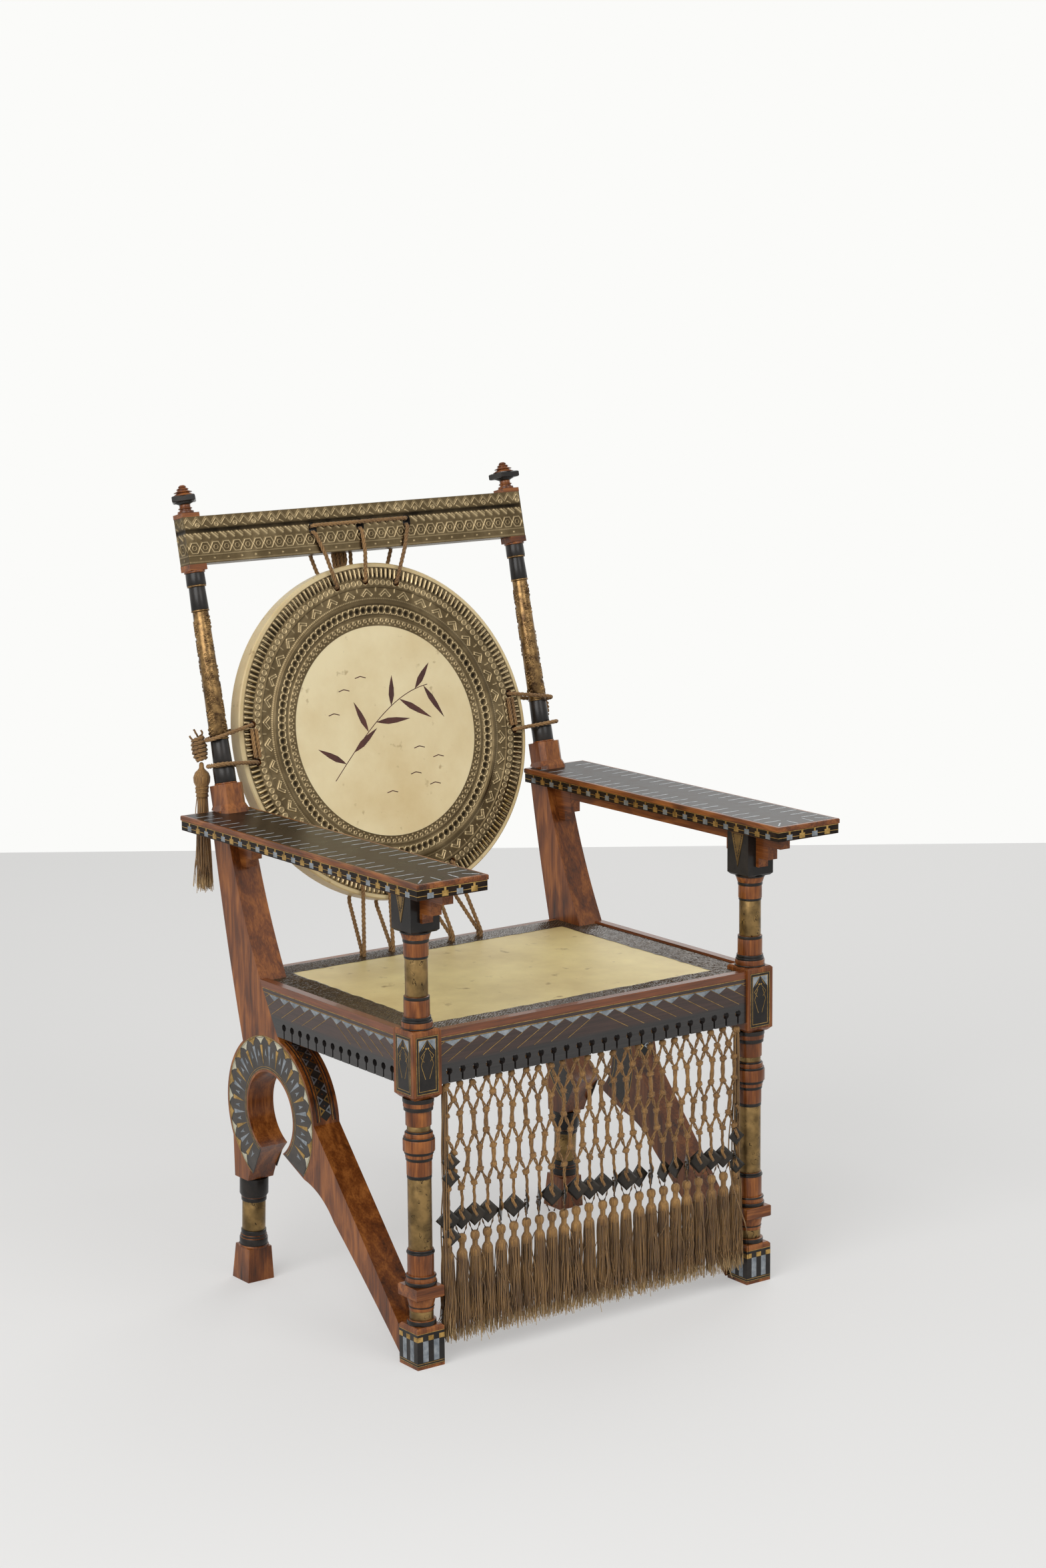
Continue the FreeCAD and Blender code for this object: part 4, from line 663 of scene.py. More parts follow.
bone = ebonised("inlaid_bone", "#b8b39c", "#d6d0b8")
slate_wood = ebonised("crescent_ground", "#38332f", "#4b4540")
for side, sign in (("left", -1), ("right", 1)):
    clad(side + "_side_frame", walnut_upright)
    clad(side + "_side_inlay", slate_wood)
    flat = lambda y, z, h: np.stack([sign * (outer_face * mm + h), y, z], -1)
    bounds = np.linspace(*crescent_span, crescent_cells + 1)
    middles = (bounds[1:] + bounds[:-1]) / 2
    parts = []
    for inner, outer, finish in crescent_edges:
        end = crescent_span[1] + (12 if inner < 70 else 0)
        parts.append(plates(arc_band(inner, outer, crescent_span[0] - 1, end, crescent_steps), flat, finish))
    for turn in (0, 1):
        here = bounds[1:-1][turn::2]
        parts.append(plates(polar(scallop, here), flat, 1 if turn else 3))
        parts.append(plates(polar(spike, here), flat, 2 if turn else 1))
    parts.append(plates(polar(petal_mark, middles), flat, 2))
    inlay(side + "_crescent", parts, [black_wood, brass, pewter, bone])
    inside = lambda y, z, h: np.stack([sign * (inner_face * mm - h), y, z], -1)
    ground = arc_band(crescent_edges[-1][0], crescent_edges[0][1], *crescent_span, inner_steps)
    parts = [plates(ground, inside, 0, plate_rise / 2)]
    for inner, outer, finish in inner_lines:
        parts.append(plates(arc_band(inner, outer, *crescent_span, inner_steps), inside, finish))
    inlay(side + "_inner_crescent", parts, [slate_wood, brass])
    rim = lambda across, turn, h: np.stack([
        sign * post_x * mm + across, ring_middle[0] * mm + (rim_radius * mm + h) * np.cos(turn / mm),
        ring_middle[1] * mm + (rim_radius * mm + h) * np.sin(turn / mm)], -1)
    turns = np.radians(np.linspace(*rim_span, rim_squares * 4 + 1))
    step, reach = turns[1] - turns[0], rim_half_width
    parts = []
    for low, high, finish in rim_lines:
        for flip in (-1, 1):
            parts.append(plates(bars(flip * low, flip * high, turns[:-1], turns[1:]), rim, finish))
    middles = turns[2::4]
    gaps = middles[:-1] + 2 * step
    square = np.array([(0, -2 * step), (reach, 0), (0, 2 * step), (-reach, 0)])
    parts.append(plates(square + np.stack([0 * middles, middles], -1)[:, None], rim, 0))
    for flip in (-1, 1):
        corner = np.array([(0.2 / reach, 0), (1, -1.9), (1, 1.9)]) * (flip * reach, step)
        small = np.array([(0.35, 0), (0.85, -0.8), (0.85, 0.8)]) * (flip * reach, step)
        for turn in (0, 1):
            here = np.stack([0 * gaps, gaps], -1)[turn::2, None]
            parts.append(plates(corner + here, rim, 1 if (turn == 0) == (flip == 1) else 2))
            parts.append(plates(small + here, rim, 0, 1.6 * plate_rise))
    inlay(side + "_rim_band", parts)


# The back legs: turned and ebonised, with a long engraved brass tube, on flared walnut feet.
# The brass tubes of each side's front turnings and back leg are one piece of the assembly.
back_leg_foot, back_leg_top = (post_x, 187.9, 0.0), (post_x, 179.2, 149.5)
back_leg_start = 48.7
back_turning = (
    (51.6, 21.3, 20.6, 0), (61.4, 19.6, 19.6, 1), (62.2, 18.7, 18.7, 0), (65.5, 18.5, 18.5, 1),
    (66.2, 17.6, 17.6, 0), (72.6, 17.5, 17.5, 1), (115.4, 15.3, 15.3, 1), (121.2, 17.6, 17.6, 1),
    (121.9, 17.7, 17.7, 0), (125.2, 18.0, 19.4, 1), (149.4, 20.0, 20.0, 1),
)
back_sleeve_levels = (72.7, 115.4, 16.2)
for side, sign in (("left", -1), ("right", 1)):
    clad(side + "_back_foot", walnut_upright)
    foot = np.array(back_leg_foot) * (sign * mm, mm, mm)
    top = np.array(back_leg_top) * (sign * mm, mm, mm)
    woods = [walnut_upright, black_wood]
    turning(side + "_back_turning", back_turning, back_leg_start, foot, top, woods, side + "_back_leg")
    low, high, radius = back_sleeve_levels
    tubes = sleeve_parts[side] + [metal_tube(low, high, radius, radius, foot, top)]
    piece(side + "_engraved_sleeves", tubes, [sleeve_brass], side + "_brass_sleeves")


# The upper posts: raked back from a walnut block with spread feet, black and polished, with a tapering
# copper sleeve on which small punched rings run round in slanting groups, and a copper ring at each joint.
rake = np.radians(13.6)
rake_foot = np.array((0.0, 219.79, 660.0))
rake_up = np.array((0.0, np.sin(rake), np.cos(rake)))
rake_out = np.array((0.0, -np.cos(rake), np.sin(rake)))
raked_turning = (
    (38.2, 15.6, 15.6, 0), (59.5, 15.1, 15.1, 1), (61.4, 14.3, 14.3, 2), (97.4, 13.3, 12.4, 1),
    (99.4, 13.5, 13.5, 2), (275.0, 11.2, 9.7, 1), (277.2, 12.6, 12.6, 2), (309.2, 12.2, 11.3, 1),
    (311.4, 13.3, 13.3, 2), (328.4, 13.6, 13.2, 1), (331.2, 14.6, 14.6, 0),
)
raked_start, raked_end = 36.1, 331.0
copper_levels = (99.6, 274.8, 12.6, 11.0)
stud_radius, stud_rise, stud_sides = 2.2, 1.0, 8
stud_groups, first_group, last_group, group_turn, second_row_turn = 19, 110.0, 264.0, 2.2, 2.3
group_spots = np.array([(0, 0), (4.6, 2.6), (-4.6, 2.6), (4.6, -2.6), (-4.6, -2.6), (0, 5.4), (0, -5.4)])


def raked(x, s, d):
    """Points on the rake: x across, s up along it and d out in front of it, all in millimetres."""
    x, s, d = (part[..., None] for part in np.broadcast_arrays(np.asarray(x, dtype=float), s, d))
    return (rake_foot + x * (1, 0, 0) + s * rake_up + d * rake_out) * mm


def studs(places, along, around, out):
    """Low ring studs: for each place a small outer ring on the ground, a raised ring and a hollow middle."""
    turn = np.linspace(0, 2 * np.pi, stud_sides, endpoint=False)
    shape = ((1.0, -0.3), (0.72, 1.0), (0.4, 0.9), (0.1, 0.15))
    circle = np.cos(turn)[:, None, None] * along + np.sin(turn)[:, None, None] * around
    rows = [places + (reach * stud_radius * circle + height * stud_rise * out) * mm
            for reach, height in shape]
    size = len(shape) * stud_sides
    start = np.arange(len(places))[:, None, None] * size
    faces = (start + quads(len(shape), stud_sides, True)).reshape(-1, 4).tolist()
    closing = (start[:, 0] + np.arange(size - stud_sides, size)).tolist()
    return np.moveaxis(np.stack(rows), 2, 0), faces + closing, 0


copper = inlaid_metal("beaten_copper", "#98794f", "#483626", 0.33)
for side, sign in (("left", -1), ("right", 1)):
    clad(side + "_post_base_block", walnut_upright)
    foot, top = raked(sign * post_x, 0, 0), raked(sign * post_x, raked_end, 0)
    turning(side + "_raked_turning", raked_turning, raked_start, foot, top,
            [walnut_upright, black_wood, copper], side + "_back_post")
    start, first, second, along = axis_frame(foot, top)
    group = np.repeat(np.arange(stud_groups), len(group_spots))
    spot = np.tile(group_spots, (stud_groups, 1))
    level = first_group + group * (last_group - first_group) / (stud_groups - 1) + spot[:, 1]
    low, high, low_radius, high_radius = copper_levels
    radius = low_radius + (level - low) / (high - low) * (high_radius - low_radius)
    angle = group * group_turn + spot[:, 0] / radius
    angle = np.concatenate([angle, angle + second_row_turn])
    level, radius = np.tile(level, 2)[:, None] * mm, np.tile(radius, 2)[:, None] * mm
    out = np.cos(angle)[:, None] * first + np.sin(angle)[:, None] * second
    raised = studs(start + level * along + radius * out, along, np.cross(along, out), out)
    piece(side + "_copper_sleeve", [metal_tube(*copper_levels, foot, top), raised], [copper],
          side + "_back_post_metal", outwards=False)


# The top rail: a wooden core wrapped in bronze sheet, embossed in rows: a zigzag with ringed bosses, a
# hollow, slanting leaves and a row of hexagons. Its three slots take the ropes, and the sheet is nailed.
rail_levels = (339.5, 404.8)
rail_half = 283.0
rail_front = 13.0
slot_places = (-79.0, 0.0, 79.0)
slot_middle, slot_half, slot_straight = 34.9, 6.25, 3.25
rail_cell, rail_lift, rail_margin = 0.8, 0.9, 1.6
boss_level, hollow_level, hexagon_level, drop_level = 52.6, 45.2, 21.4, 6.4
# These turn relief into colour: patina on the bronze, painted shade and painted highlight on the bark cloth.
patina_and_painted_light_base, patina_and_painted_light_share = 0.3, 0.42


def bronze(name="embossed_bronze", recess="#17120b", ground="#5a4c35", rubbed="#b7a27c", metallic=0.95):
    """Bronze sheet, hammered from behind and browned: black-brown in the hollows, worn bright on the
    ridges, with the uneven shine of thin metal. Used for the bark cloth, the same dark hollows and
    bright ridges are painted shade and painted highlight."""
    made, tree, place = new_finish(name)
    relief = add(tree, "Attribute", attribute_name="relief")
    drift = add(tree, "TexNoise", {"Vector": place, "Scale": 26.0, "Detail": 6.0, "Roughness": 0.6})
    mixed = add(tree, "Math", {0: drift, 1: 0.42, 2: relief.outputs["Fac"]}, operation="MULTIPLY_ADD")
    # Dark recess, ground and bright ridge: patina and wear on the bronze, painted shade and painted highlight
    # on the bark cloth.
    tone = add(tree, "ValToRGB", {"Fac": mixed}, stops=((0.16, recess), (0.5, ground), (1.0, rubbed)))
    gloss = add(tree, "MapRange",
                {"Value": mixed, "From Min": 0.2, "From Max": 1.0, "To Min": 0.4, "To Max": 0.2})
    bump = add(tree, "Bump", {"Height": drift, "Strength": 0.35, "Distance": 1.2 * mm})
    return finished(made, {"Base Color": tone, "Metallic": metallic,
                           "Roughness": gloss, "Normal": bump})


def ridge(distance, width):
    """Height, from 0 to 1, of a rounded ridge at a distance from its middle line."""
    return np.exp(-(distance / width) ** 2)


def to_line(u, v, start, end):
    """Distance of points from a straight line between two ends."""
    start, way = np.array(start, dtype=float), np.subtract(end, start)
    share = np.clip(((u - start[0]) * way[0] + (v - start[1]) * way[1]) / (way @ way), 0, 1)
    return np.hypot(u - start[0] - share * way[0], v - start[1] - share * way[1])


def repeated(u, pitch, shift=0.0):
    """Distance along a row from the middle of the nearest repeat."""
    return (u / pitch + 0.5 + shift) % 1.0 * pitch - pitch / 2


def hexagon(across, up):
    """Half width, at each point, of the hexagon about the middle that passes through it."""
    return np.maximum(np.abs(up), 0.5 * np.abs(up) + 0.866 * np.abs(across))


def faded(distance, width):
    """Share that rises from 0 at an edge to 1 over a width."""
    return np.clip(distance / width, 0, 1)


def rail_relief(u, v):
    """Embossing of the rail, in millimetres: u along it, v up from its lower edge."""
    wide = repeated(u, 30.0)
    zigzag = 52.5 + 1.2 * np.abs(repeated(u, 15.0))
    found = ridge(v - zigzag, 0.9) + 0.6 * ridge(v - zigzag - 3.2, 0.6)
    boss = np.hypot(wide - 7.5, v - boss_level)
    found += ridge(boss - 2.9, 0.7) + 0.8 * ridge(boss, 1.1)
    found += 0.9 * ridge(to_line(wide + 7.5, v, (-2.5, 51.5), (2.5, 48.6)), 0.9)
    found -= 1.1 * ridge(v - hollow_level, 2.6)
    leaf = repeated(u, 13.2)
    found += 1.5 * ridge(to_line(leaf, v, (-4.2, 41.2), (3.8, 34.2)), 1.5)
    found += 0.8 * ridge(to_line(leaf, v, (1.2, 41.6), (5.6, 37.4)), 0.9)
    cell, up = repeated(u, 17.0), v - hexagon_level
    ring = np.hypot(cell, up)
    found += 1.1 * ridge(hexagon(cell, up) - 7.1, 0.8) - 0.5 * ridge(ring, 5.0)
    found += 0.9 * ridge(ring - 3.1, 0.8) + 0.5 * ridge(ring, 0.9)
    found += 0.6 * ridge(v - 11.2, 0.7) + 0.4 * ridge(v - 2.0, 1.0)
    return found + 0.9 * ridge(np.hypot(repeated(u, 22.0), v - drop_level), 1.2)


def slot_distance(u, v):
    """Distance out from the nearest slot's edge, negative inside it, and the way out."""
    nearest = np.array(slot_places)[np.abs(u[..., None] - slot_places).argmin(-1)]
    across = u - nearest
    up = v - slot_middle
    up -= np.clip(up, -slot_straight, slot_straight)
    reach = np.hypot(across, up)
    return reach - slot_half, across / np.maximum(reach, 1e-6), up / np.maximum(reach, 1e-6)


def relief_sheet(u, v, height, place, hole=None, wrap=False):
    """Points, faces and relief of an embossed sheet on a grid. Points just inside a hole are moved out
    to its edge, and the faces that lie inside are left out."""
    u, v = np.array(u), np.array(v)
    inside = np.zeros(u.shape, dtype=bool)
    if hole is not None:
        step = 1.3 * max(abs(u[1, 1] - u[0, 0]), abs(v[1, 1] - v[0, 0]))
        distance, out_u, out_v = hole(u, v)
        near = (distance < 0) & (distance > -step)
        inside = distance <= -step
        u, v = u - np.where(near, distance, 0) * out_u, v - np.where(near, distance, 0) * out_v
    faces = quads(*u.shape, wrap)
    faces = faces[~inside.ravel()[faces].any(-1)]
    return place(u, v, height), faces, np.broadcast_to(height, u.shape)


def embossed(name, sheets, finish, replaces=None):
    """One object from relief sheets; the relief is kept on the points for the bronze's patina and for the
    painted shade and highlight of the bark cloth.
    """
    parts = [(grid, faces, 0) for grid, faces, _ in sheets]
    made = piece(name, parts, [finish], replaces, outwards=False)
    relief = np.concatenate([height.ravel() for _, _, height in sheets])
    kept = made.data.attributes.new("relief", "FLOAT", "POINT")
    kept.data.foreach_set("value", np.clip(patina_and_painted_light_base + patina_and_painted_light_share * relief, 0, 1).astype(np.float32))


bronze_sheet = bronze()
clad("top_rail_core", black_wood)
clad("rail_collars", walnut_crossways)
height = rail_levels[1] - rail_levels[0]
u, v = np.meshgrid(np.arange(-rail_half, rail_half + 0.1, rail_cell),
                   np.linspace(0, height, int(height / rail_cell)), indexing="ij")
edge = faded(np.minimum(v, height - v), rail_margin) * faded(rail_half - np.abs(u), rail_margin)
relief = rail_relief(u, v) * edge
before = lambda a, b, h: raked(a, rail_levels[0] + b, rail_front + rail_lift * h)
behind = lambda a, b, h: raked(a, rail_levels[0] + b, -rail_front - rail_lift * h)
sheets = [relief_sheet(u, v, relief, before, slot_distance)]
u, v, relief = (values[::2, ::2][:, ::-1] for values in (u, v, relief))
sheets.append(relief_sheet(u, v, relief, behind, slot_distance))
for level in (0.0, height):
    u, v = np.meshgrid(np.linspace(-rail_half, rail_half, 400), np.linspace(-rail_front, rail_front, 19),
                       indexing="ij")
    hammered = 0.3 * np.sin(0.9 * u) * np.sin(0.7 * v + 0.2 * u) * (rail_front - np.abs(v)) / rail_front
    sheets.append(relief_sheet(u, v, hammered, lambda a, b, h: raked(a, rail_levels[0] + level + h, b)))
u, v = np.meshgrid(np.linspace(-rail_front, rail_front, 33), np.linspace(0, height, 82), indexing="ij")
edge = faded(np.minimum(v, height - v), rail_margin) * faded(rail_front - np.abs(u), rail_margin)
for flip in (-1, 1):
    place = lambda a, b, h: raked(flip * (rail_half + rail_lift * h), rail_levels[0] + b, a)
    sheets.append(relief_sheet(u, v, rail_relief(u, v) * edge, place))
embossed("embossed_rail_sheet", sheets, bronze_sheet, "top_rail_sheet")


# The finials: small stacks of turned walnut discs over the rail's ends, each with a black square cap.
# The left one has worked loose, so its cap stands about a third of a right angle round.
finial_turning = (
    (3.6, 11.4, 11.2, 0), (6.4, 8.2, 7.8, 0), (7.9, 9.6, 9.6, 0), (12.6, 7.6, 7.6, 0), (16.2, 8.4, 14.0, 1),
    (24.6, 13.0, 13.0, 1), (27.6, 15.4, 11.6, 0), (29.3, 9.4, 9.0, 0), (31.4, 12.8, 9.6, 0),
    (33.4, 7.6, 7.4, 0), (35.4, 8.6, 7.0, 0), (37.2, 4.8, 5.6, 0), (39.4, 5.4, 3.8, 0),
)
finial_levels = (410.8, 450.3)
cap_levels = ((16.0, 14.4), (17.2, 16.0), (23.4, 16.0), (24.6, 14.4))
for side, sign, turned in (("left", -1, np.radians(31.5)), ("right", 1, 0.0)):
    foot, top = (raked(sign * post_x, level, 0) for level in finial_levels)
    turning(side + "_finial_turning", finial_turning, 0, foot, top, [walnut_crossways, black_wood],
            side + "_finial")
    angle = np.radians(45) + turned + np.arange(4) * np.pi / 2
    ring = np.sqrt(2) * np.stack([np.cos(angle), np.sin(angle)], -1)
    levels, halves = np.array(cap_levels).T
    cap = raked(sign * post_x + halves[:, None] * ring[:, 0], finial_levels[0] + levels[:, None],
                halves[:, None] * ring[:, 1])
    piece(side + "_finial_cap", [(cap, capped(4, 4), 0)], [black_wood], smooth=False)


# The round back: a shallow drum. A vellum skin with a painted spray fills its middle, a broad bronze
# ring embossed in bands goes round it, and a strip of pale vellum covers its rim.
disc_middle, disc_face, skin_depth = 81.5, 3.5, 3.5
ring_inner, ring_seam, ring_outer = 149.6, 190.0, 233.6
ring_cell, ring_lift, ring_columns = 0.78, 0.85, (1260, 1500)
ring_profile = ((149, 0.3), (165, 0.4), (166.5, 0.9), (178.5, 1.5), (181, 2.7), (184.5, 2.9), (188, 1.5),
                (190, 1.1), (203.5, 1.3), (205.4, 2.3), (207.2, 1.3), (216, 1.2), (218, 0.8), (234, 0.6))
hole_places = ((-48.5, 208.4), (0.0, 214.0), (51.4, 207.7), (-217.5, 31.0), (-217.5, -21.5), (217.5, 31.0),
               (217.5, -21.5), (-77.0, -197.5), (-35.0, -209.1), (35.0, -209.1), (77.0, -197.5))
hole_radius = 5.25
leaf_places = ((3, 150, 50), (5, 35, 54), (9, 112, 48), (11, 0, 58), (15, 80, 44), (17, -32, 60),
               (21, 50, 46), (23, -60, 56))
mark_places = ((-70, 62), (-40, 78), (-92, 30), (42, -30), (72, -46), (30, -66), (60, -84), (-14, -88))
stem_stroke, mark_stroke, paint_rise, leaf_width, leaf_rise = 1.1, 1.3, 0.12, 9.0, 0.16


def vellum(name, pale, deep, mottle):
    """Thin scraped skin, varnished and gone yellow: cloudy patches, fine fibres and a few small stains."""
    made, tree, place = new_finish(name)
    clouds = add(tree, "TexNoise", {"Vector": place, "Scale": mottle, "Detail": 9.0, "Roughness": 0.6})
    specks = add(tree, "TexNoise", {"Vector": place, "Scale": mottle * 9, "Detail": 3.0})
    stains = add(tree, "MapRange", {"Value": specks, "From Min": 0.66, "From Max": 0.8})
    tone = add(tree, "ValToRGB", {"Fac": clouds}, stops=((0.34, deep), (0.66, pale)))
    soiled = add(tree, "Mix", {0: stains, 6: tone, 7: paint("#8d6f42")}, data_type="RGBA")
    bump = add(tree, "Bump", {"Height": clouds, "Strength": 0.12, "Distance": 1.0 * mm})
    return finished(made, {"Base Color": soiled.outputs[2], "Roughness": 0.46,
                           "Subsurface Weight": 0.05, "Normal": bump})


def ring_relief(radius, angle):
    """Embossing of the bronze ring, in millimetres, on top of its turned profile."""
    turn = angle / (2 * np.pi)
    along = lambda count, shift=0.0: repeated(turn, 1 / count, shift) * 2 * np.pi * radius
    small = np.hypot(along(105), radius - 157.0)
    found = 0.9 * ridge(small - 2.2, 0.7) + 0.7 * ridge(np.hypot(along(105, 0.5), radius - 152.8), 1.2)
    found += 0.4 * ridge(radius - 160.4, 0.7)
    cell, up = along(105), radius - 172.4
    found += 1.2 * ridge(hexagon(cell, up) - 5.3, 0.8) - 1.1 * ridge(np.hypot(cell, up), 3.0)
    found += 0.7 * ridge(np.hypot(along(400), radius - 188.6), 0.9)
    cell = along(40)
    for flip in (-1, 1):
        found += 1.2 * ridge(to_line(flip * cell, radius, (0.6, 202.0), (9.0, 194.0)), 0.7)
        found += 0.9 * ridge(to_line(flip * cell, radius, (0.4, 197.6), (6.6, 191.6)), 0.7)
        found += 1.0 * ridge(to_line(flip * cell, radius, (9.0, 194.0), (6.6, 191.6)), 0.8)
    found += 0.9 * ridge(to_line(along(40, 0.5), radius, (0, 203.4), (0, 198.6)), 0.8)
    circle = np.hypot(along(134), radius - 211.6)
    found += 1.0 * ridge(circle - 3.4, 0.75) + 0.6 * ridge(circle - 1.3, 0.6)
    tooth, share = along(190), faded(radius - 218.5, 13.5)
    band = faded(radius - 217.6, 1.5) * faded(232.6 - radius, 1.2)
    found += band * 2.0 * ridge(tooth, 0.7 + 1.5 * share) * (1.1 - 0.5 * share)
    found -= band * 0.9 * ridge(along(190, 0.5), 1.4)
    found += 0.8 * ridge(np.hypot(along(95, 0.5), radius - 231.6), 1.0)
    return found


def hole_distance(radius, angle):
    """Distance out from the nearest rope hole's edge, and the way out as changes of radius and angle."""
    x, up = radius * np.sin(angle), radius * np.cos(angle)
    gaps = np.hypot(x[..., None] - np.array(hole_places)[:, 0], up[..., None] - np.array(hole_places)[:, 1])
    nearest = np.array(hole_places)[gaps.argmin(-1)]
    out = np.stack([x - nearest[..., 0], up - nearest[..., 1]], -1)
    reach = np.maximum(np.linalg.norm(out, axis=-1), 1e-6)
    out /= reach[..., None]
    outward = out[..., 0] * np.sin(angle) + out[..., 1] * np.cos(angle)
    around = out[..., 0] * np.cos(angle) - out[..., 1] * np.sin(angle)
    return reach - hole_radius, outward, around / radius


def on_disc(radius, angle, height):
    """Points on the round back: radius and angle about its middle, height out from its front."""
    return raked(radius * np.sin(angle), disc_middle + radius * np.cos(angle), disc_face + height)


def leaf(start, way, width):
    """Outline of a slender painted leaf from its stalk to its tip."""
    share = np.array([0, 0.15, 0.35, 0.6, 0.85, 1, 0.85, 0.6, 0.35, 0.15])
    swell = np.array([0.06, 0.5, 1.0, 0.85, 0.35, 0, -0.35, -0.85, -1.0, -0.5]) * width / 2
    start, way = np.asarray(start, dtype=float), np.asarray(way, dtype=float)
    side = np.array([-way[1], way[0]]) / np.linalg.norm(way)
    return start + share[:, None] * way + swell[:, None] * side


clad("disc_body", walnut_upright)
clad("disc_rim", vellum("rim_vellum", "#dcc89c", "#bfa573", 7.0))
clad("disc_vellum", vellum("painted_vellum", "#e8d6ac", "#d3b988", 6.0))
profile_radius, profile_height = np.array(ring_profile).T
for low, high, columns in zip((ring_inner, ring_seam), (ring_seam, ring_outer), ring_columns):
    radius, angle = np.meshgrid(np.linspace(low, high, int((high - low) / ring_cell)),
                                np.linspace(0, 2 * np.pi, columns, endpoint=False), indexing="ij")
    relief = ring_relief(radius, angle)
    base = np.interp(radius, profile_radius, profile_height)
    place = lambda r, a, h: on_disc(r, a, base + ring_lift * h)
    if low > ring_inner:
        sheet = relief_sheet(radius, angle, relief, place, hole_distance, True)
        embossed("embossed_outer_ring", [sheet], bronze_sheet)
    else:
        sheet = relief_sheet(radius, angle, relief, place, None, True)
        embossed("embossed_inner_ring", [sheet], bronze_sheet, "disc_inlay_ring")

share = np.linspace(0, 1, 25)
stem = np.column_stack([-96 + 176 * share, -62 + 150 * np.sin(1.35 * share) - 26 * share])
face = lambda x, up, h: raked(x / mm, disc_middle + up / mm, skin_depth + h / mm)
spray = [plates(strokes(stem[:-1], stem[1:], stem_stroke), face, 0, paint_rise, 0)]
leaves = []
for place, turn, length in leaf_places:
    way = length * np.array([np.cos(np.radians(turn)), np.sin(np.radians(turn))])
    leaves.append(leaf(stem[place], way, leaf_width))
spray.append(plates(leaves, face, 0, leaf_rise, 0))
starts, bends, ends = (np.array(mark_places) + way for way in ((0, 0), (9, 2.2), (18, -0.6)))
marks = strokes(np.concatenate([starts, bends]), np.concatenate([bends, ends]), mark_stroke)
spray.append(plates(marks, face, 0, paint_rise, 0))
inlay("painted_spray", spray, [ebonised("maroon_paint", "#43241f", "#5c342a")])


# The lashings: three-stranded rope that slings the round back. It runs through the rail's slots, the
# back's holes, round the posts and down through the seat, with a spare hank behind the rail.
rope_radius, rope_bend = 3.1, 6.0
rope_step = 1.3
strand_sides = 6
rope_lay = 20.0
slot_low, slot_high, under_rail = 370.0, 378.8, 336.4
rail_out, disc_out, behind_disc = 16.6, 7.1, -25.1
disc_radius = 240.0
slot_bends = (6, 18, 6, 6, 18, 6)
hank_x, hank_low, hank_high = -18.0, 315.5, 393.3
hank_loops = ((9.9, -25.1), (7.2, -28.6), (3.6, -25.6), (5.4, -31.4))
side_turns = (
    ((217.5, 239.3, 770.9), (287.2, 222.7, 761.3), (287.2, 256.1, 753.3), (241.1, 269.6, 759.0),
     (217.5, 270.6, 763.4)),
    ((217.5, 227.0, 719.8), (289.4, 210.7, 727.5), (289.4, 250.3, 717.9), (242.1, 258.5, 713.5),
     (217.5, 258.3, 712.3)),
)
side_bends = (6.2, 16.9, 16.9, 12.4, 6.2)
strand_ends = ((214.2, 228.6, 725.8), (214.2, 238.1, 764.9))
strand_apart = 6.6
seat_ropes = ((99.6, (77.0, 185.6, 548.9), (85.2, 209.6, 509.2)),
              (51.1, (35.0, 182.9, 537.6), (41.4, 207.3, 499.4)))
seat_bends = (0, 12, 6, 6, 12, 6, 0)
through_disc = (0, 31.3, -7.6)
pair_y, pair_half, board_under, board_over = 154.2, 3.4, 419.5, 450.3
board_knot_level, board_knot_height, board_knot_reach = 407.6, 8.8, (2.8, 4.3, 2.8)
coil_middle, coil_below, coil_above, turn_steps = (291.05, 89.5, -21.05), 15.5, 15.0, 26
knot_turns, knot_reach = 5.5, (6.2, 8.4, 8.6, 6.6)
loose_ends = ((15, 0.6), (9, 2.4), (17, 4.4))


def rounded(corners, bends, closed):
    """Points along a route whose corners are eased by curves that leave it a bend's length away."""
    corners = np.asarray(corners, dtype=float)
    before, after = np.roll(corners, 1, axis=0) - corners, np.roll(corners, -1, axis=0) - corners
    lengths = np.stack([np.linalg.norm(before, axis=1), np.linalg.norm(after, axis=1)], 1)
    cosine = (before * after).sum(1) / lengths.prod(1)
    reach = np.asarray(bends) * np.sqrt((1 + cosine) / np.maximum(1 - cosine, 1e-6))
    reach = np.minimum(reach, 0.48 * lengths.min(1))[:, None]
    first, last = corners + before / lengths[:, :1] * reach, corners + after / lengths[:, 1:] * reach
    if not closed:
        first[0] = last[0] = corners[0]
        first[-1] = last[-1] = corners[-1]
    share = np.linspace(0, 1, 9)[None, :, None]
    curve = ((1 - share) ** 2 * first[:, None] + 2 * share * (1 - share) * corners[:, None]
             + share ** 2 * last[:, None]).reshape(-1, 3)
    if closed:
        curve = np.concatenate([curve, curve[:1]])
    steps = np.linalg.norm(np.diff(curve, axis=0), axis=1)
    keep = np.concatenate([[True], steps > 1e-6])
    curve, travelled = curve[keep], np.concatenate([[0], np.cumsum(steps[steps > 1e-6])])
    places = np.linspace(0, travelled[-1], max(int(travelled[-1] / rope_step), 4))
    return np.stack([np.interp(places, travelled, curve[:, axis]) for axis in range(3)], -1)


def carried_frames(points):
    """Two directions across a path at each point, carried along it with no needless twist."""
    along = np.gradient(points, axis=0)
    along /= np.linalg.norm(along, axis=1, keepdims=True)
    side = np.cross(along[0], (0.3, 0.9, 0.2))
    across = []
    for way in along:
        side = side - way * (side @ way)
        side = side / np.linalg.norm(side)
        across.append(side)
    across = np.array(across)
    return across, np.cross(along, across)


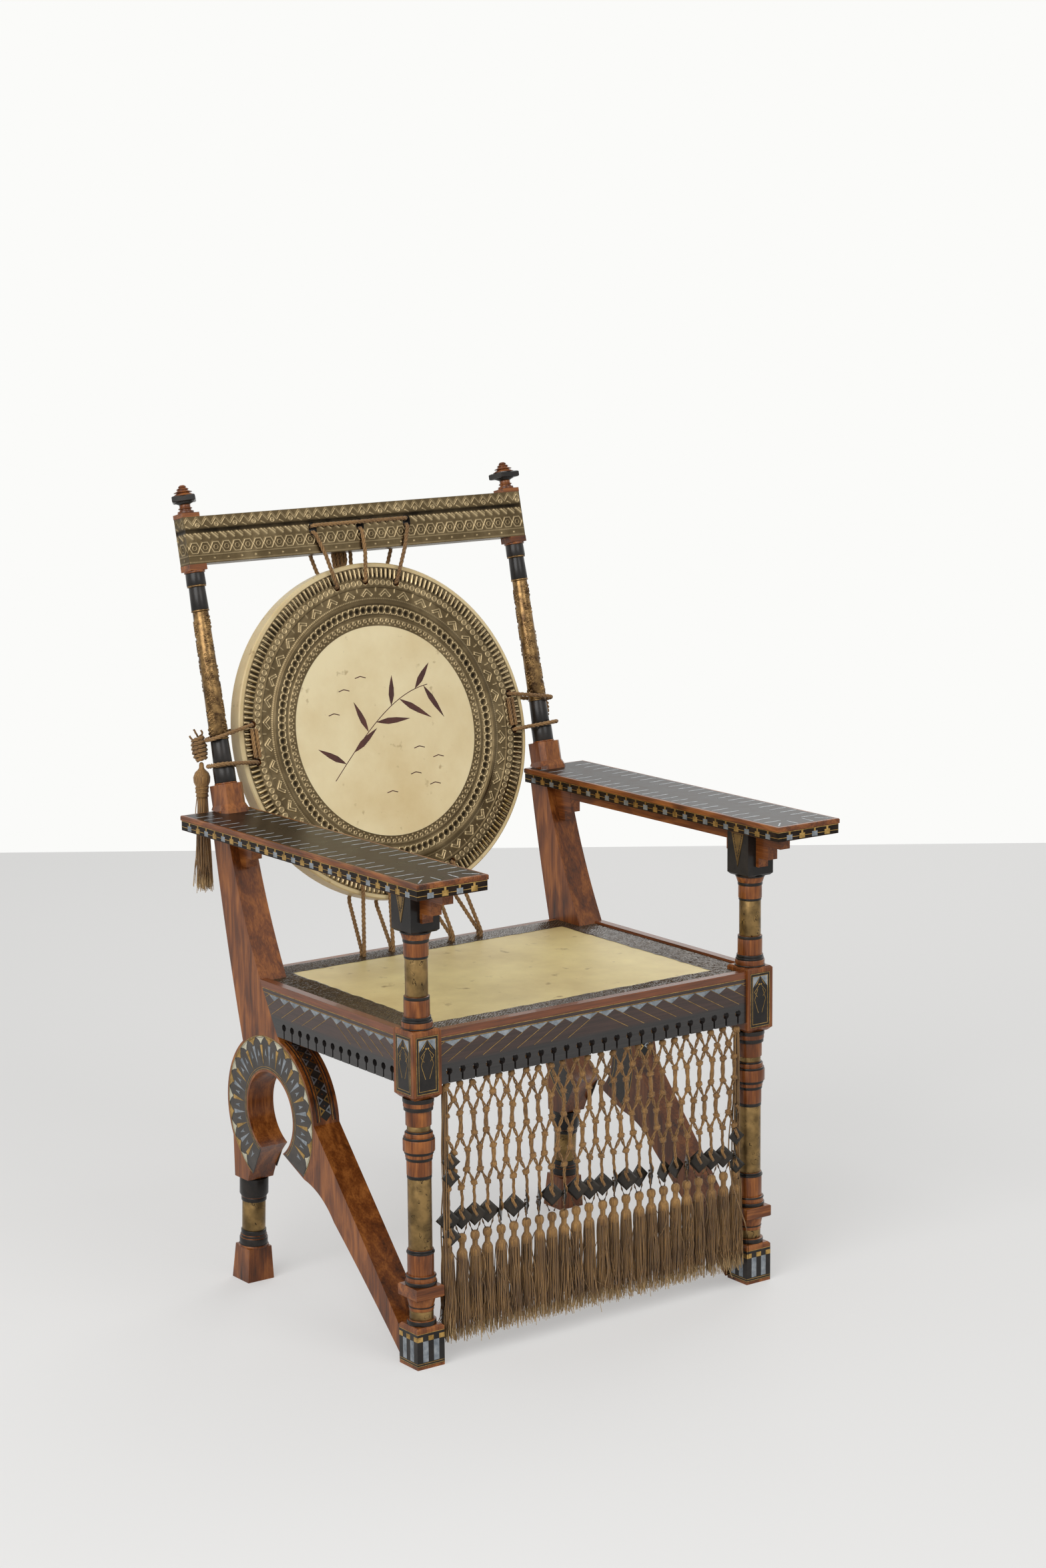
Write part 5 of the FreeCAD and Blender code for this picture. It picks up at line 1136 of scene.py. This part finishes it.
def twisted(points, radius, strands=3, lay=rope_lay, sides=strand_sides, start=0.0, finish=0):
    """Parts of a rope, in millimetres: strands laid round a path, their ends closed."""
    first, second = carried_frames(points)
    travelled = np.concatenate([[0], np.cumsum(np.linalg.norm(np.diff(points, axis=0), axis=1))])
    size = radius * (0.54 if strands > 2 else 0.5)
    ring = np.linspace(0, 2 * np.pi, sides, endpoint=False)
    found = []
    for strand in range(strands):
        turn = (start + 2 * np.pi * (strand / strands + travelled / lay))[:, None]
        out = np.cos(turn) * first + np.sin(turn) * second
        aside = -np.sin(turn) * first + np.cos(turn) * second
        circle = np.cos(ring)[:, None] * out[:, None] + np.sin(ring)[:, None] * aside[:, None]
        tube = (points + out * (radius - size))[:, None] + size * circle
        found.append((tube * mm, capped(len(points), sides), finish))
    return found


def cordage(name, pale, deep, fineness=(520.0, 520.0, 520.0)):
    """Palm-fibre cord: brown-gold with darker hairs, dry and unpolished, fuzzed by a fine grain."""
    made, tree, place = new_finish(name)
    fine = add(tree, "Mapping", {"Vector": place, "Scale": fineness})
    fibres = add(tree, "TexNoise", {"Vector": fine, "Scale": 1.0, "Detail": 4.0, "Roughness": 0.7})
    patches = add(tree, "TexNoise", {"Vector": place, "Scale": 24.0, "Detail": 2.0})
    mixed = add(tree, "Math", {0: patches, 1: 0.5, 2: fibres}, operation="MULTIPLY_ADD")
    tone = add(tree, "ValToRGB", {"Fac": mixed}, stops=((0.55, deep), (0.95, pale)))
    bump = add(tree, "Bump", {"Height": fibres, "Strength": 0.5, "Distance": 0.5 * mm})
    return finished(made, {"Base Color": tone, "Roughness": 0.72, "Sheen Weight": 0.15,
                           "Normal": bump})


def coil(foot, top, reach, turns, radius):
    """Rope wound as a helix about an axis: its distance from the axis is read off a short list of radii."""
    share = np.linspace(0, 1, int(turns * turn_steps))
    start, first, second, along = axis_frame(foot, top)
    turn = (2 * np.pi * turns * share)[:, None]
    out = np.interp(share, np.linspace(0, 1, len(reach)), reach)[:, None]
    length = np.linalg.norm(np.subtract(top, foot))
    path = start + along * share[:, None] * length + out * (np.cos(turn) * first + np.sin(turn) * second)
    return twisted(path, radius)


rope_cord = cordage("laid_rope", "#a57e4c", "#5f4223")
routes = []
for rail_x, (hole_x, hole_up) in zip(slot_places, hole_places):
    hole_s, edge = disc_middle + hole_up, disc_middle + np.sqrt(disc_radius ** 2 - hole_x ** 2) + rope_radius
    lean = (hole_x - rail_x) / (slot_low - hole_s)
    corners = np.array([
        (rail_x, slot_low, rail_out), (rail_x + lean * (slot_low - under_rail), under_rail, rail_out),
        (hole_x, hole_s, disc_out), (hole_x, hole_s, behind_disc),
        (rail_x + lean * (slot_low - edge), edge, behind_disc), (rail_x, slot_low, -rail_out)])
    routes.append(rounded(raked(*corners.T) / mm, slot_bends, True))
outer_slot = slot_places[-1]
corners = np.array([(-1, 1, 1), (1, 1, 1), (1, 1, -1), (-1, 1, -1)]) * (outer_slot, slot_high, rail_out)
routes.append(rounded(raked(*corners.T) / mm, [rope_bend] * 4, True))
for half, depth in hank_loops:
    corners = np.array([(hank_x - half, hank_low, depth), (hank_x - half, hank_high, depth),
                        (hank_x + half, hank_high, depth), (hank_x + half, hank_low + half, depth)])
    routes.append(rounded(raked(*corners.T) / mm, [half] * 4, True))
for sign in (-1, 1):
    for corners in side_turns:
        routes.append(rounded(np.array(corners) * (sign, 1, 1), side_bends, True))
    for offset in (0.0, strand_apart):
        ends = (np.array(strand_ends) + (offset, 0, 0)) * (sign, 1, 1)
        routes.append(rounded(ends, (0, 0), False))
    for hole_x, front, edge in seat_ropes:
        down, up = ((hole_x, pair_y + pair_half * flip) for flip in (-1, 1))
        corners = np.array([(*down, board_under), (*down, board_over), front, np.add(front, through_disc),
                            edge, (*up, board_over), (*up, board_under)])
        routes.append(rounded(corners * (sign, 1, 1), seat_bends, False))
parts = []
for path in routes:
    parts += twisted(path, rope_radius)
for sign in (-1, 1):
    x, s, d = coil_middle
    ends = (raked(sign * x, level, d) / mm for level in (s - coil_below, s + coil_above))
    parts += coil(*ends, knot_reach, knot_turns, rope_radius)
    for up, turn in loose_ends:
        end = raked(sign * x + 12 * np.cos(turn), s + up + 5, d - 3 * np.sin(turn)) / mm
        tail = rounded([raked(sign * x, s + up, d) / mm, end, end + (2 * sign, 2, 5)], (0, 4, 0), False)
        parts += twisted(tail, 0.5 * rope_radius)
    for hole_x, _, _ in seat_ropes:
        foot = np.array((sign * hole_x, pair_y, board_knot_level))
        parts += coil(foot, foot + (0, 0, board_knot_height), board_knot_reach, 3.0, 0.85 * rope_radius)
piece("rope_lashings", parts, [rope_cord], "back_lashings")


# The hanging tassels: one behind each post, below its knot. Each is a bound head over a long skirt of
# loose cords, and swings by itself on the cord that it hangs from.
tassel_tops = {"left": (-291.05, 256.94, 720.15, 178.0), "right": (291.05, 256.94, 720.15, 160.0)}
head_shape = ((-3.6, 1.6), (-2.2, 2.8), (0.0, 3.4), (3.5, 3.4), (6.0, 4.6), (11.0, 9.6), (17.0, 11.9),
              (24.0, 11.4), (30.0, 8.6), (34.0, 7.0), (38.0, 7.6), (44.0, 9.0))
head_sides = 16
wrap_levels, wrap_reach, wrap_turns, wrap_radius = (31, 39), (8.8, 7.8, 8.6), 4, 1.3
skirt_start, skirt_shape, skirt_cords, skirt_width, skirt_rag = 36, ((0, 6.6), (1, 11.6)), 150, 1.5, 12
golden_turn = 2.399963
rng = np.random.default_rng(7)


def threads(middles, width, sides=3, wander=1.0):
    """Parts of loose cords along their middle lines, in millimetres: each wanders a little sideways and
    thins at its tip, and the tips have the second, paler finish."""
    count, steps, _ = middles.shape
    share = np.linspace(0, 1, steps)[:, None]
    sway = rng.normal(size=(2, count, 1, 3)) * rng.gamma(1.2, 0.8, (count, 1, 1)) * (1, 1, 0.1)
    bends = sway[0] * np.sin(7.5 * share) + sway[1] * np.sin(4.6 * share)
    middles = middles + wander * width * share * bends
    ring = np.linspace(0, 2 * np.pi, sides, endpoint=False)
    circle = np.stack([np.cos(ring), np.sin(ring), 0 * ring], -1)
    thin = np.where(share > 0.9, 0.6, 1.0)[:, None] * width / 2
    tubes = middles[:, :, None] + circle * thin
    found, cut = [], max(steps - 1, 2)
    for part, finish in ((tubes[:, :cut], 0), (tubes[:, cut - 1:], 1)):
        if part.shape[1] > 1:
            start = np.arange(count)[:, None, None] * part.shape[1] * sides
            faces = (quads(part.shape[1], sides, True) + start).reshape(-1, 4).tolist()
            found.append((part * mm, faces, finish))
    return found


def skirt(top, low, profile, count, width, rag=3.0, steps=12, wander=1.0):
    """Cords of a tassel's skirt: they fill a round whose radius follows the profile down its length."""
    turn = np.arange(count) * golden_turn
    ring = np.stack([np.cos(turn), np.sin(turn)], -1) * np.sqrt((np.arange(count) + 0.5) / count)[:, None]
    share = np.linspace(0, 1, steps) ** 1.3
    radius = np.interp(share, *np.array(profile).T)
    drop = (top[2] - low - rng.uniform(0, rag, count))[:, None] * share
    flat = top[:2] + ring[:, None] * radius[:, None]
    return threads(np.concatenate([flat, top[2] - drop[..., None]], -1), width, wander=wander)


tassel_cord = cordage("tassel_cord", "#ab8249", "#573a1c", (620.0, 620.0, 14.0))
tassel_tips = cordage("tassel_tips", "#ccab73", "#7f6036", (620.0, 620.0, 30.0))
levels, radii = np.array(head_shape).T * mm
for side, (x, y, z, length) in tassel_tops.items():
    top = np.array((x, y, z))
    head = revolved(levels, radii, top * mm, top * mm - (0, 0, 1), head_sides)
    wraps = coil(*(top - (0, 0, level) for level in wrap_levels), wrap_reach, wrap_turns, wrap_radius)
    low = z - length + 1
    cords = skirt(top - (0, 0, skirt_start), low, skirt_shape, skirt_cords, skirt_width, skirt_rag)
    piece(side + "_hanging_tassel", [(head, capped(len(levels), head_sides), 0), *wraps, *cords],
          [tassel_cord, tassel_tips], side + "_tassel", side + "_tassel", outwards=False)


# The seat: a walnut board under a stretched vellum panel. A broad strip of dark bark cloth frames it,
# pressed all over in short crossing ridges; its inner edge wavers where it was cut by hand.
seat_outer = np.array([(-279.0, -244.8), (279.0, -244.8), (279.0, 170.2), (-279.0, 170.2)])
seat_inner = np.array([(-230.9, -209.7), (230.9, -209.7), (230.9, 133.1), (-230.9, 133.1)])
seat_level = 441.0
cloth_cell, cloth_rise = 1.5, 0.45
press_cell, press_depth, press_count, border_steps = 6.4, 0.95, 160, 25
seat_hole_x, seat_hole_y = np.array([-99.6, -51.1, 51.1, 99.6]), 154.2
seat_hole_half, seat_hole_straight = 4.2, 3.3


def pressed(x, y):
    """Pressing of the bark cloth, in millimetres: in each small square lie a few short ridges, turned
    one way or the other at random."""
    cells = np.stack([np.floor((x + 0.35 * y) / press_cell), np.floor(y / press_cell)]).astype(int)
    lean = press_turns[cells[0] % press_count, cells[1] % press_count]
    across = np.cos(lean) * y - np.sin(lean) * x
    return 1.3 * ridge(repeated(across, 3.5), 0.95) - 0.4


def seat_hole_distance(x, y):
    """Distance out from the nearest rope hole of the seat, and the way out."""
    across, along = x - seat_hole_x[np.abs(x[..., None] - seat_hole_x).argmin(-1)], y - seat_hole_y
    along = along - np.clip(along, -seat_hole_straight, seat_hole_straight)
    reach = np.maximum(np.hypot(across, along), 1e-6)
    return reach - seat_hole_half, across / reach, along / reach


press_size = (press_count, press_count)
press_turns = rng.choice((-1, 1), press_size) * rng.uniform(0.25, 0.85, press_size)
# The bark cloth is coloured from its relief: darker in the hollows and brighter on the ridges over its dark
# brown. That contrast is painted shade and painted highlight.
bark_painted_shade_and_highlight = bronze("bark_painted_shade_and_highlight", "#0f0b06", "#30241a", "#5f4c33", 0.1)
corners, ends = np.roll(seat_outer, -1, axis=0), np.roll(seat_inner, -1, axis=0)
outer, inner = [], []
for start, end, inner_start, inner_end in zip(seat_outer, corners, seat_inner, ends):
    share = np.linspace(0, 1, int(np.linalg.norm(end - start) / cloth_cell), endpoint=False)[:, None]
    outer.append(start + (end - start) * share)
    inner.append(inner_start + (inner_end - inner_start) * share)
outer, inner = np.concatenate(outer), np.concatenate(inner)
travelled = np.arange(len(outer)) * cloth_cell
waver = 0.7 * np.sin(travelled / 11.0) + 0.6 * np.sin(travelled / 5.3 + 1.0) + 0.5 * np.sin(travelled / 23.0)
inner *= 1 - (1.0 + waver)[:, None] / np.abs(inner).max(1)[:, None]
share = np.linspace(0, 1, border_steps)[:, None, None]
grid = outer + (inner - outer) * share
relief = pressed(grid[..., 0], grid[..., 1]) * faded(np.minimum(share, 1 - share)[..., 0], 1 / 12)
on_seat = lambda x, y, h: np.stack([x, y, seat_level + cloth_rise + press_depth * h], -1) * mm
sheet = relief_sheet(grid[..., 0], grid[..., 1], relief, on_seat, seat_hole_distance, True)
embossed("pressed_border", [sheet], bark_painted_shade_and_highlight, "seat_border")
clad("seat_panel", vellum("seat_vellum", "#efdb9c", "#c8af76", 5.2))
clad("seat_board", walnut_crossways)
clad("back_rail", walnut_crossways)


# The aprons: walnut edge, rosewood strip between two brass lines, then pewter teeth from which brass
# strokes fall away from the middle over rosewood. The black band below has keyholes cut through it.
apron_low, apron_high, apron_peak = 373.5, 450.0, 428.8
front_apron_face, side_apron_face = 256.8, 291.0
stroke_width = 0.55
apron_lines = ((434.7, 435.4), (429.4, 430.1))
apron_bands = ((0, "#262322"), (398, "#262322"), (404, "#38251e"), (429.4, "#38251e"), (429.9, "#33221d"),
               (434.8, "#33221d"), (435.4, "#6b391b"), (450, "#713d1d"))
tooth_fall, stroke_run, stroke_fall = 7.7, 1.82, 27.2
tooth_apex = 0.514
apron_edges = (("front", -252.0, 252.0, 0.0, 0.0, 27.25, 9), ("side", -216.0, 74.0, 0.592, -60.8, 25.6, 6))


def veneers(name, along, bands, low=apron_low, high=apron_high):
    """Veneers in bands one above the other, rubbed smooth together: each height has its own wood, and
    fine dark streaks run through all of them."""
    made, tree, place = new_finish(name)
    apart = add(tree, "SeparateXYZ", {"Vector": place})
    share = add(tree, "MapRange",
                {"Value": apart.outputs["Z"], "From Min": low * mm, "From Max": high * mm})
    stops = [(max(level - low, 0) / (high - low), colour) for level, colour in bands]
    tone = add(tree, "ValToRGB", {"Fac": share}, stops=stops)
    stretch = [900.0] * 3
    stretch[along] = 40.0
    fine = add(tree, "Mapping", {"Vector": place, "Scale": stretch})
    streaks = add(tree, "TexNoise", {"Vector": fine, "Scale": 0.5, "Detail": 5.0})
    value = add(tree, "MapRange",
                {"Value": streaks, "From Min": 0.3, "From Max": 0.7, "To Min": 0.6, "To Max": 1.35})
    shade = add(tree, "HueSaturation", {"Color": tone, "Value": value})
    return finished(made, {"Base Color": shade, "Roughness": 0.34, "Coat Weight": 0.2})


def apron_plates(low, high, lean, middle, pitch, count):
    """Brass and pewter plates of an apron, in its own plane; lean is how its far end slopes back."""
    end_at = lambda level: high + lean * (level - apron_low)
    found = [(np.array([bars(low, end_at(bottom), bottom, top) for bottom, top in apron_lines]), 0)]
    steps = np.arange(count + 1)
    for flip in (-1, 1):
        peaks = middle + flip * pitch * steps
        teeth = np.stack([peaks, peaks + flip * pitch, peaks + flip * tooth_apex * pitch], -1)[:-1]
        teeth = np.clip(teeth, low, end_at(apron_peak) - 2)
        fall = np.array([0, 0, -tooth_fall]) + apron_peak
        found.append((np.stack([teeth, np.broadcast_to(fall, teeth.shape)], -1), 1))
        room = (end_at(apron_peak) - peaks if flip > 0 else peaks - low)
        share = np.clip(room / (stroke_run * pitch + lean * stroke_fall * (flip > 0)), 0, 1)[:, None]
        starts = np.column_stack([peaks, np.full(len(peaks), apron_peak)])
        way = np.array([flip * stroke_run * pitch, -stroke_fall])
        found.append((strokes(starts, starts + share * way, stroke_width), 0))
    return found


for which, low, high, lean, middle, pitch, count in apron_edges:
    faces = {"front": ("front",), "side": ("left_side", "right_side")}[which]
    for name in faces:
        clad(name + "_apron", veneers(name + "_veneers", 0 if which == "front" else 1, apron_bands))
        sign = 1 if name == "right_side" else -1
        if which == "front":
            face = lambda x, z, h: np.stack([x, -front_apron_face * mm - h, z], -1)
        else:
            face = lambda y, z, h: np.stack([sign * (side_apron_face * mm + h), y, z], -1)
        parts = [plates(outlines, face, finish)
                 for outlines, finish in apron_plates(low, high, lean, middle, pitch, count)]
        inlay(name + "_apron_inlay", parts, [brass, pewter])


# The fringe: a knotted net of doubled cords, hung from the keyholes of the front apron. Rows of knots
# join the cords in diamonds, then in long cells, down to a row of leather squares and their tassels.
fringe_y = -249.8
columns = 24
fringe_pitch = 20.739
fringe_x = (np.arange(columns) - (columns - 1) / 2) * fringe_pitch
between_x = (fringe_x[1:] + fringe_x[:-1]) / 2
net_rows = ((367.6, fringe_x), (346.2, between_x), (327.8, fringe_x), (298.4, fringe_x), (277.7, between_x),
            (251.5, between_x), (230.6, fringe_x))
square_level = 190.5
cord_radius, bar_radius, thin_radius, square_cord_radius = 2.5, 3.1, 1.6, 2.4
knot_radius = 4.7
hanger_levels = (373.4, 388.0)
ball_rows, ball_sides, sling_steps, sling_sides = 6, 8, 12, 4


def net_cord(start, end, radius, count=2, lay=34.0):
    """One stretch of the net between two knots: cords laid together, bowed a little out of straight."""
    share = np.linspace(0, 1, 7)[:, None]
    bow = rng.normal(size=3) * 0.55
    path = start + (end - start) * share + bow * np.sin(np.pi * share)
    return twisted(path, radius, count, lay, 5, rng.uniform(0, 6))


def knots(places, radius):
    """Knots of the net: a lumpy ball for each place, with a turn of cord slung aslant round it."""
    count = len(places)
    lumps = 1 + 0.07 * rng.normal(size=(count, ball_rows, ball_sides, 1))
    turn = np.linspace(0, 2 * np.pi, ball_sides, endpoint=False)
    height = np.linspace(-0.92, 0.92, ball_rows)
    wide = np.sqrt(1 - height ** 2)[:, None]
    ball = np.stack([wide * np.cos(turn), wide * np.sin(turn), height[:, None] + 0 * turn], -1)
    balls = places[:, None, None] + radius * lumps * ball * (1, 1, 0.92)
    faces = []
    for first in np.arange(count) * ball_rows * ball_sides:
        faces += [[first + corner for corner in face] for face in capped(ball_rows, ball_sides)]
    around = np.linspace(0, 2 * np.pi, sling_steps, endpoint=False)[:, None]
    across = np.linspace(0, 2 * np.pi, sling_sides, endpoint=False)
    reach = 0.82 * radius + 0.36 * radius * np.cos(across)
    aslant = 0.36 * radius * np.sin(across) + 0 * around
    sling = np.stack([reach * np.cos(around), reach * np.sin(around), aslant], -1)
    lean = rng.choice((-1, 1), count) * rng.uniform(0.4, 0.9, count)
    cos, sin = np.cos(lean)[:, None, None], np.sin(lean)[:, None, None]
    tilted = np.stack([cos * sling[..., 0] + sin * sling[..., 2], sling[..., 1] + 0 * cos,
                       cos * sling[..., 2] - sin * sling[..., 0]], -1) + places[:, None, None]
    size = sling_steps * sling_sides
    grid = quads(sling_steps + 1, sling_sides, True) % size + np.arange(count)[:, None, None] * size
    return [(balls * mm, faces, 0), (tilted * mm, grid.reshape(-1, 4).tolist(), 0)]


def whiskers(places, radius, count=5, length=3.6):
    """Broken fibres that stand out of the knots."""
    base = np.repeat(places, count, axis=0)
    way = rng.normal(size=base.shape) * (1, 0.7, 0.8)
    way /= np.linalg.norm(way, axis=1, keepdims=True)
    reach = (radius + rng.uniform(0.2, 1, (len(base), 1)) * length)
    out = np.stack([0.6 * radius + 0 * reach, 0.5 * (radius + reach), reach], 1)
    middles = base[:, None] + way[:, None] * out
    middles[:, 2] += rng.normal(size=(len(base), 3)) * 0.8
    return threads(middles, 0.45, wander=0.2)


net_finish = cordage("net_cord", "#a67c45", "#5c3f20", (700.0, 700.0, 260.0))
net_tips = cordage("frayed_fibre", "#c9a772", "#8f6c3e")
rows = [np.column_stack([xs, np.full(len(xs), fringe_y), np.full(len(xs), level)]) for level, xs in net_rows]
rows = [row + rng.normal(size=row.shape) * (0.7, 0.5, 1.0) for row in rows]
parts = []
for above, below in ((0, 1), (1, 2), (3, 4), (5, 6)):
    one, other = rows[above], rows[below]
    wide, narrow = (one, other) if len(one) > len(other) else (other, one)
    for place in range(len(narrow)):
        parts += net_cord(wide[place], narrow[place], cord_radius)
        parts += net_cord(wide[place + 1], narrow[place], cord_radius)
for above, below in ((2, 3), (4, 5)):
    for start, end in zip(rows[above], rows[below]):
        parts += net_cord(start, end, bar_radius, 4, 70.0)
for place in (0, -1):
    parts += net_cord(rows[0][place], rows[2][place], thin_radius)
    parts += net_cord(rows[3][place], rows[6][place], thin_radius)
knotted = np.concatenate(rows)
parts += knots(knotted, knot_radius) + whiskers(knotted, knot_radius)
below_net = rows[6]
square_tops = np.column_stack([fringe_x, np.full(columns, fringe_y), np.full(columns, square_level + 7)])
for start, end in zip(below_net, square_tops):
    parts += net_cord(start, end - (0, 1.5, 0), square_cord_radius, 3, 40.0)
piece("knotted_net", parts, [net_finish, net_tips], "fringe_net", "fringe", outwards=False)

parts = []
for x in fringe_x:
    low, high = (np.array([x, fringe_y, level]) for level in hanger_levels)
    parts += net_cord(low, high, thin_radius, 2, 20.0)
piece("net_hangers", parts, [net_finish], "fringe_hangers")


# The leather squares: one to a column, standing on a corner, curled and slit for the cords. Some face
# the front and overlap their neighbours, others have turned on their cords and stand edge on.
facing = "ffffefeefefffefhehhefffe"
square_turns = {"f": 0.55, "e": -0.95, "h": -0.2}
square_half, square_thick, square_steps = 16.6, 1.3, 7
square_loop = ((-2.2, 10.4, 0.2), (-1.4, 7.0, 2.0), (0.6, 3.2, 2.4), (2.2, -0.2, 2.0), (3.2, -3.0, 0.1))
square_tail = ((6.5, 2.0, -1.6), (8.2, -7.0, -2.0), (6.4, -15.0, -1.0), (3.0, -23.5, 0.0))


def leather_square(middle, turn, half, curl):
    """Parts of a curled square of leather on its corner, of the cord's loop over its front and of the two
    cords that leave behind it; finish 0 is leather and 1 cord."""
    share = np.linspace(-1, 1, square_steps)
    s, t = np.meshgrid(share, share, indexing="ij")
    a, b = half * (t - s) / 2, half * (s + t) / 2
    bend = curl * (a / half) ** 2 - 0.9 * (b / half) ** 3
    front, back = bend + square_thick / 2, bend - square_thick / 2
    ring = np.concatenate([np.stack([a, b, front], -1), np.stack([a, b, back], -1)[:, ::-1]], axis=1)
    turned = np.array([(np.cos(turn), -np.sin(turn), 0), (0, 0, 1), (-np.sin(turn), -np.cos(turn), 0)])
    found = [((middle + ring @ turned) * mm, capped(square_steps, 2 * square_steps), 0)]
    found += twisted(middle + np.array(square_loop) @ turned, 2.4, 3, 40, 5, finish=1)
    for flip in (-1, 1):
        found += twisted(middle + (np.array(square_tail) * (flip, 1, 1)) @ turned, 1.5, 2, 18, 5, finish=1)
    return found


leather = ebonised("squares_leather", "#211d18", "#3a332a")
parts = []
for x, kind in zip(fringe_x, facing):
    turn = square_turns[kind] + rng.uniform(-0.14, 0.14)
    middle = (x, fringe_y + rng.uniform(-0.6, 0.6), square_level + rng.uniform(-2.0, 2.0))
    parts += leather_square(middle, turn, square_half, rng.uniform(-1.4, 2.6))
piece("slit_squares", parts, [leather, net_finish], "fringe_squares", "fringe", outwards=False)


# The fringe's tassels: a bound bead and neck on each column's cords, over a long skirt that swells below
# the neck and frays to pale tips. At each end a loose bundle of cords hangs beside them with more squares.
head_outline = ((0.5, 2.4), (1.6, 4.6), (4.0, 6.0), (8.0, 6.3), (11.5, 5.2), (13.2, 3.5), (14.3, 4.0),
                (15.4, 3.4), (16.5, 3.9), (17.6, 3.3), (18.7, 3.9), (20.0, 3.4), (22.0, 5.2), (26.0, 7.0),
                (34.0, 7.0))
tassel_top, tassel_low, tassel_sides, neck_drop = 167.8, 23.8, 12, 21.0
skirt_profile = ((0, 4.2), (0.05, 7.2), (0.45, 8.4), (1.0, 10.8))
bundle_profile = ((0, 1.8), (0.04, 4.2), (0.5, 4.6), (1.0, 8.5))
bundle_top, bundle_low, bundle_knot, end_skirt_drop, end_skirt_low = 369.0, 30.0, 365.0, 215.0, 26.0
fringe_room = np.array((248.6, 1000.0, 1000.0)) * mm
bundle_x = 241.6
bundle_squares = ((-1, 268, 0.5), (-1, 247, 0.35), (-1, 168, 0.6),
                  (1, 250, -0.9), (1, 216, 0.1), (1, 176, 0.55))
levels, radii = np.array(head_outline).T * mm
parts = []
for x in fringe_x:
    top = np.array((x + rng.uniform(-0.8, 0.8), fringe_y + rng.uniform(-1.2, 1.2), tassel_top))
    head = revolved(levels, radii, top * mm, top * mm - (0, 0, 1), tassel_sides)
    parts.append((head, capped(len(levels), tassel_sides), 0))
    parts += skirt(top - (0, 0, neck_drop), tassel_low, skirt_profile, 84, 1.35, 13, wander=1.5)
for sign in (-1, 1):
    top = np.array((sign * bundle_x, fringe_y, bundle_top))
    parts += skirt(top, bundle_low, bundle_profile, 13, 2.1, 14, 26, 0.9)
    parts += knots(np.array([(sign * bundle_x, fringe_y, bundle_knot)]), 5.2)
    parts += skirt(top - (0, 0, end_skirt_drop), end_skirt_low, skirt_profile[1:], 56, 1.35, 12)
parts = [(np.clip(points, -fringe_room, fringe_room), faces, finish) for points, faces, finish in parts]
piece("fringe_skirts", parts, [tassel_cord, tassel_tips], "fringe_tassels", "fringe", outwards=False)
parts = []
for sign, level, turn in bundle_squares:
    parts += leather_square((sign * (bundle_x - 4.5), fringe_y - 5, level), turn, 12.5, 1.2)[:4]
piece("end_squares", parts, [leather, net_finish], body="fringe", outwards=False)
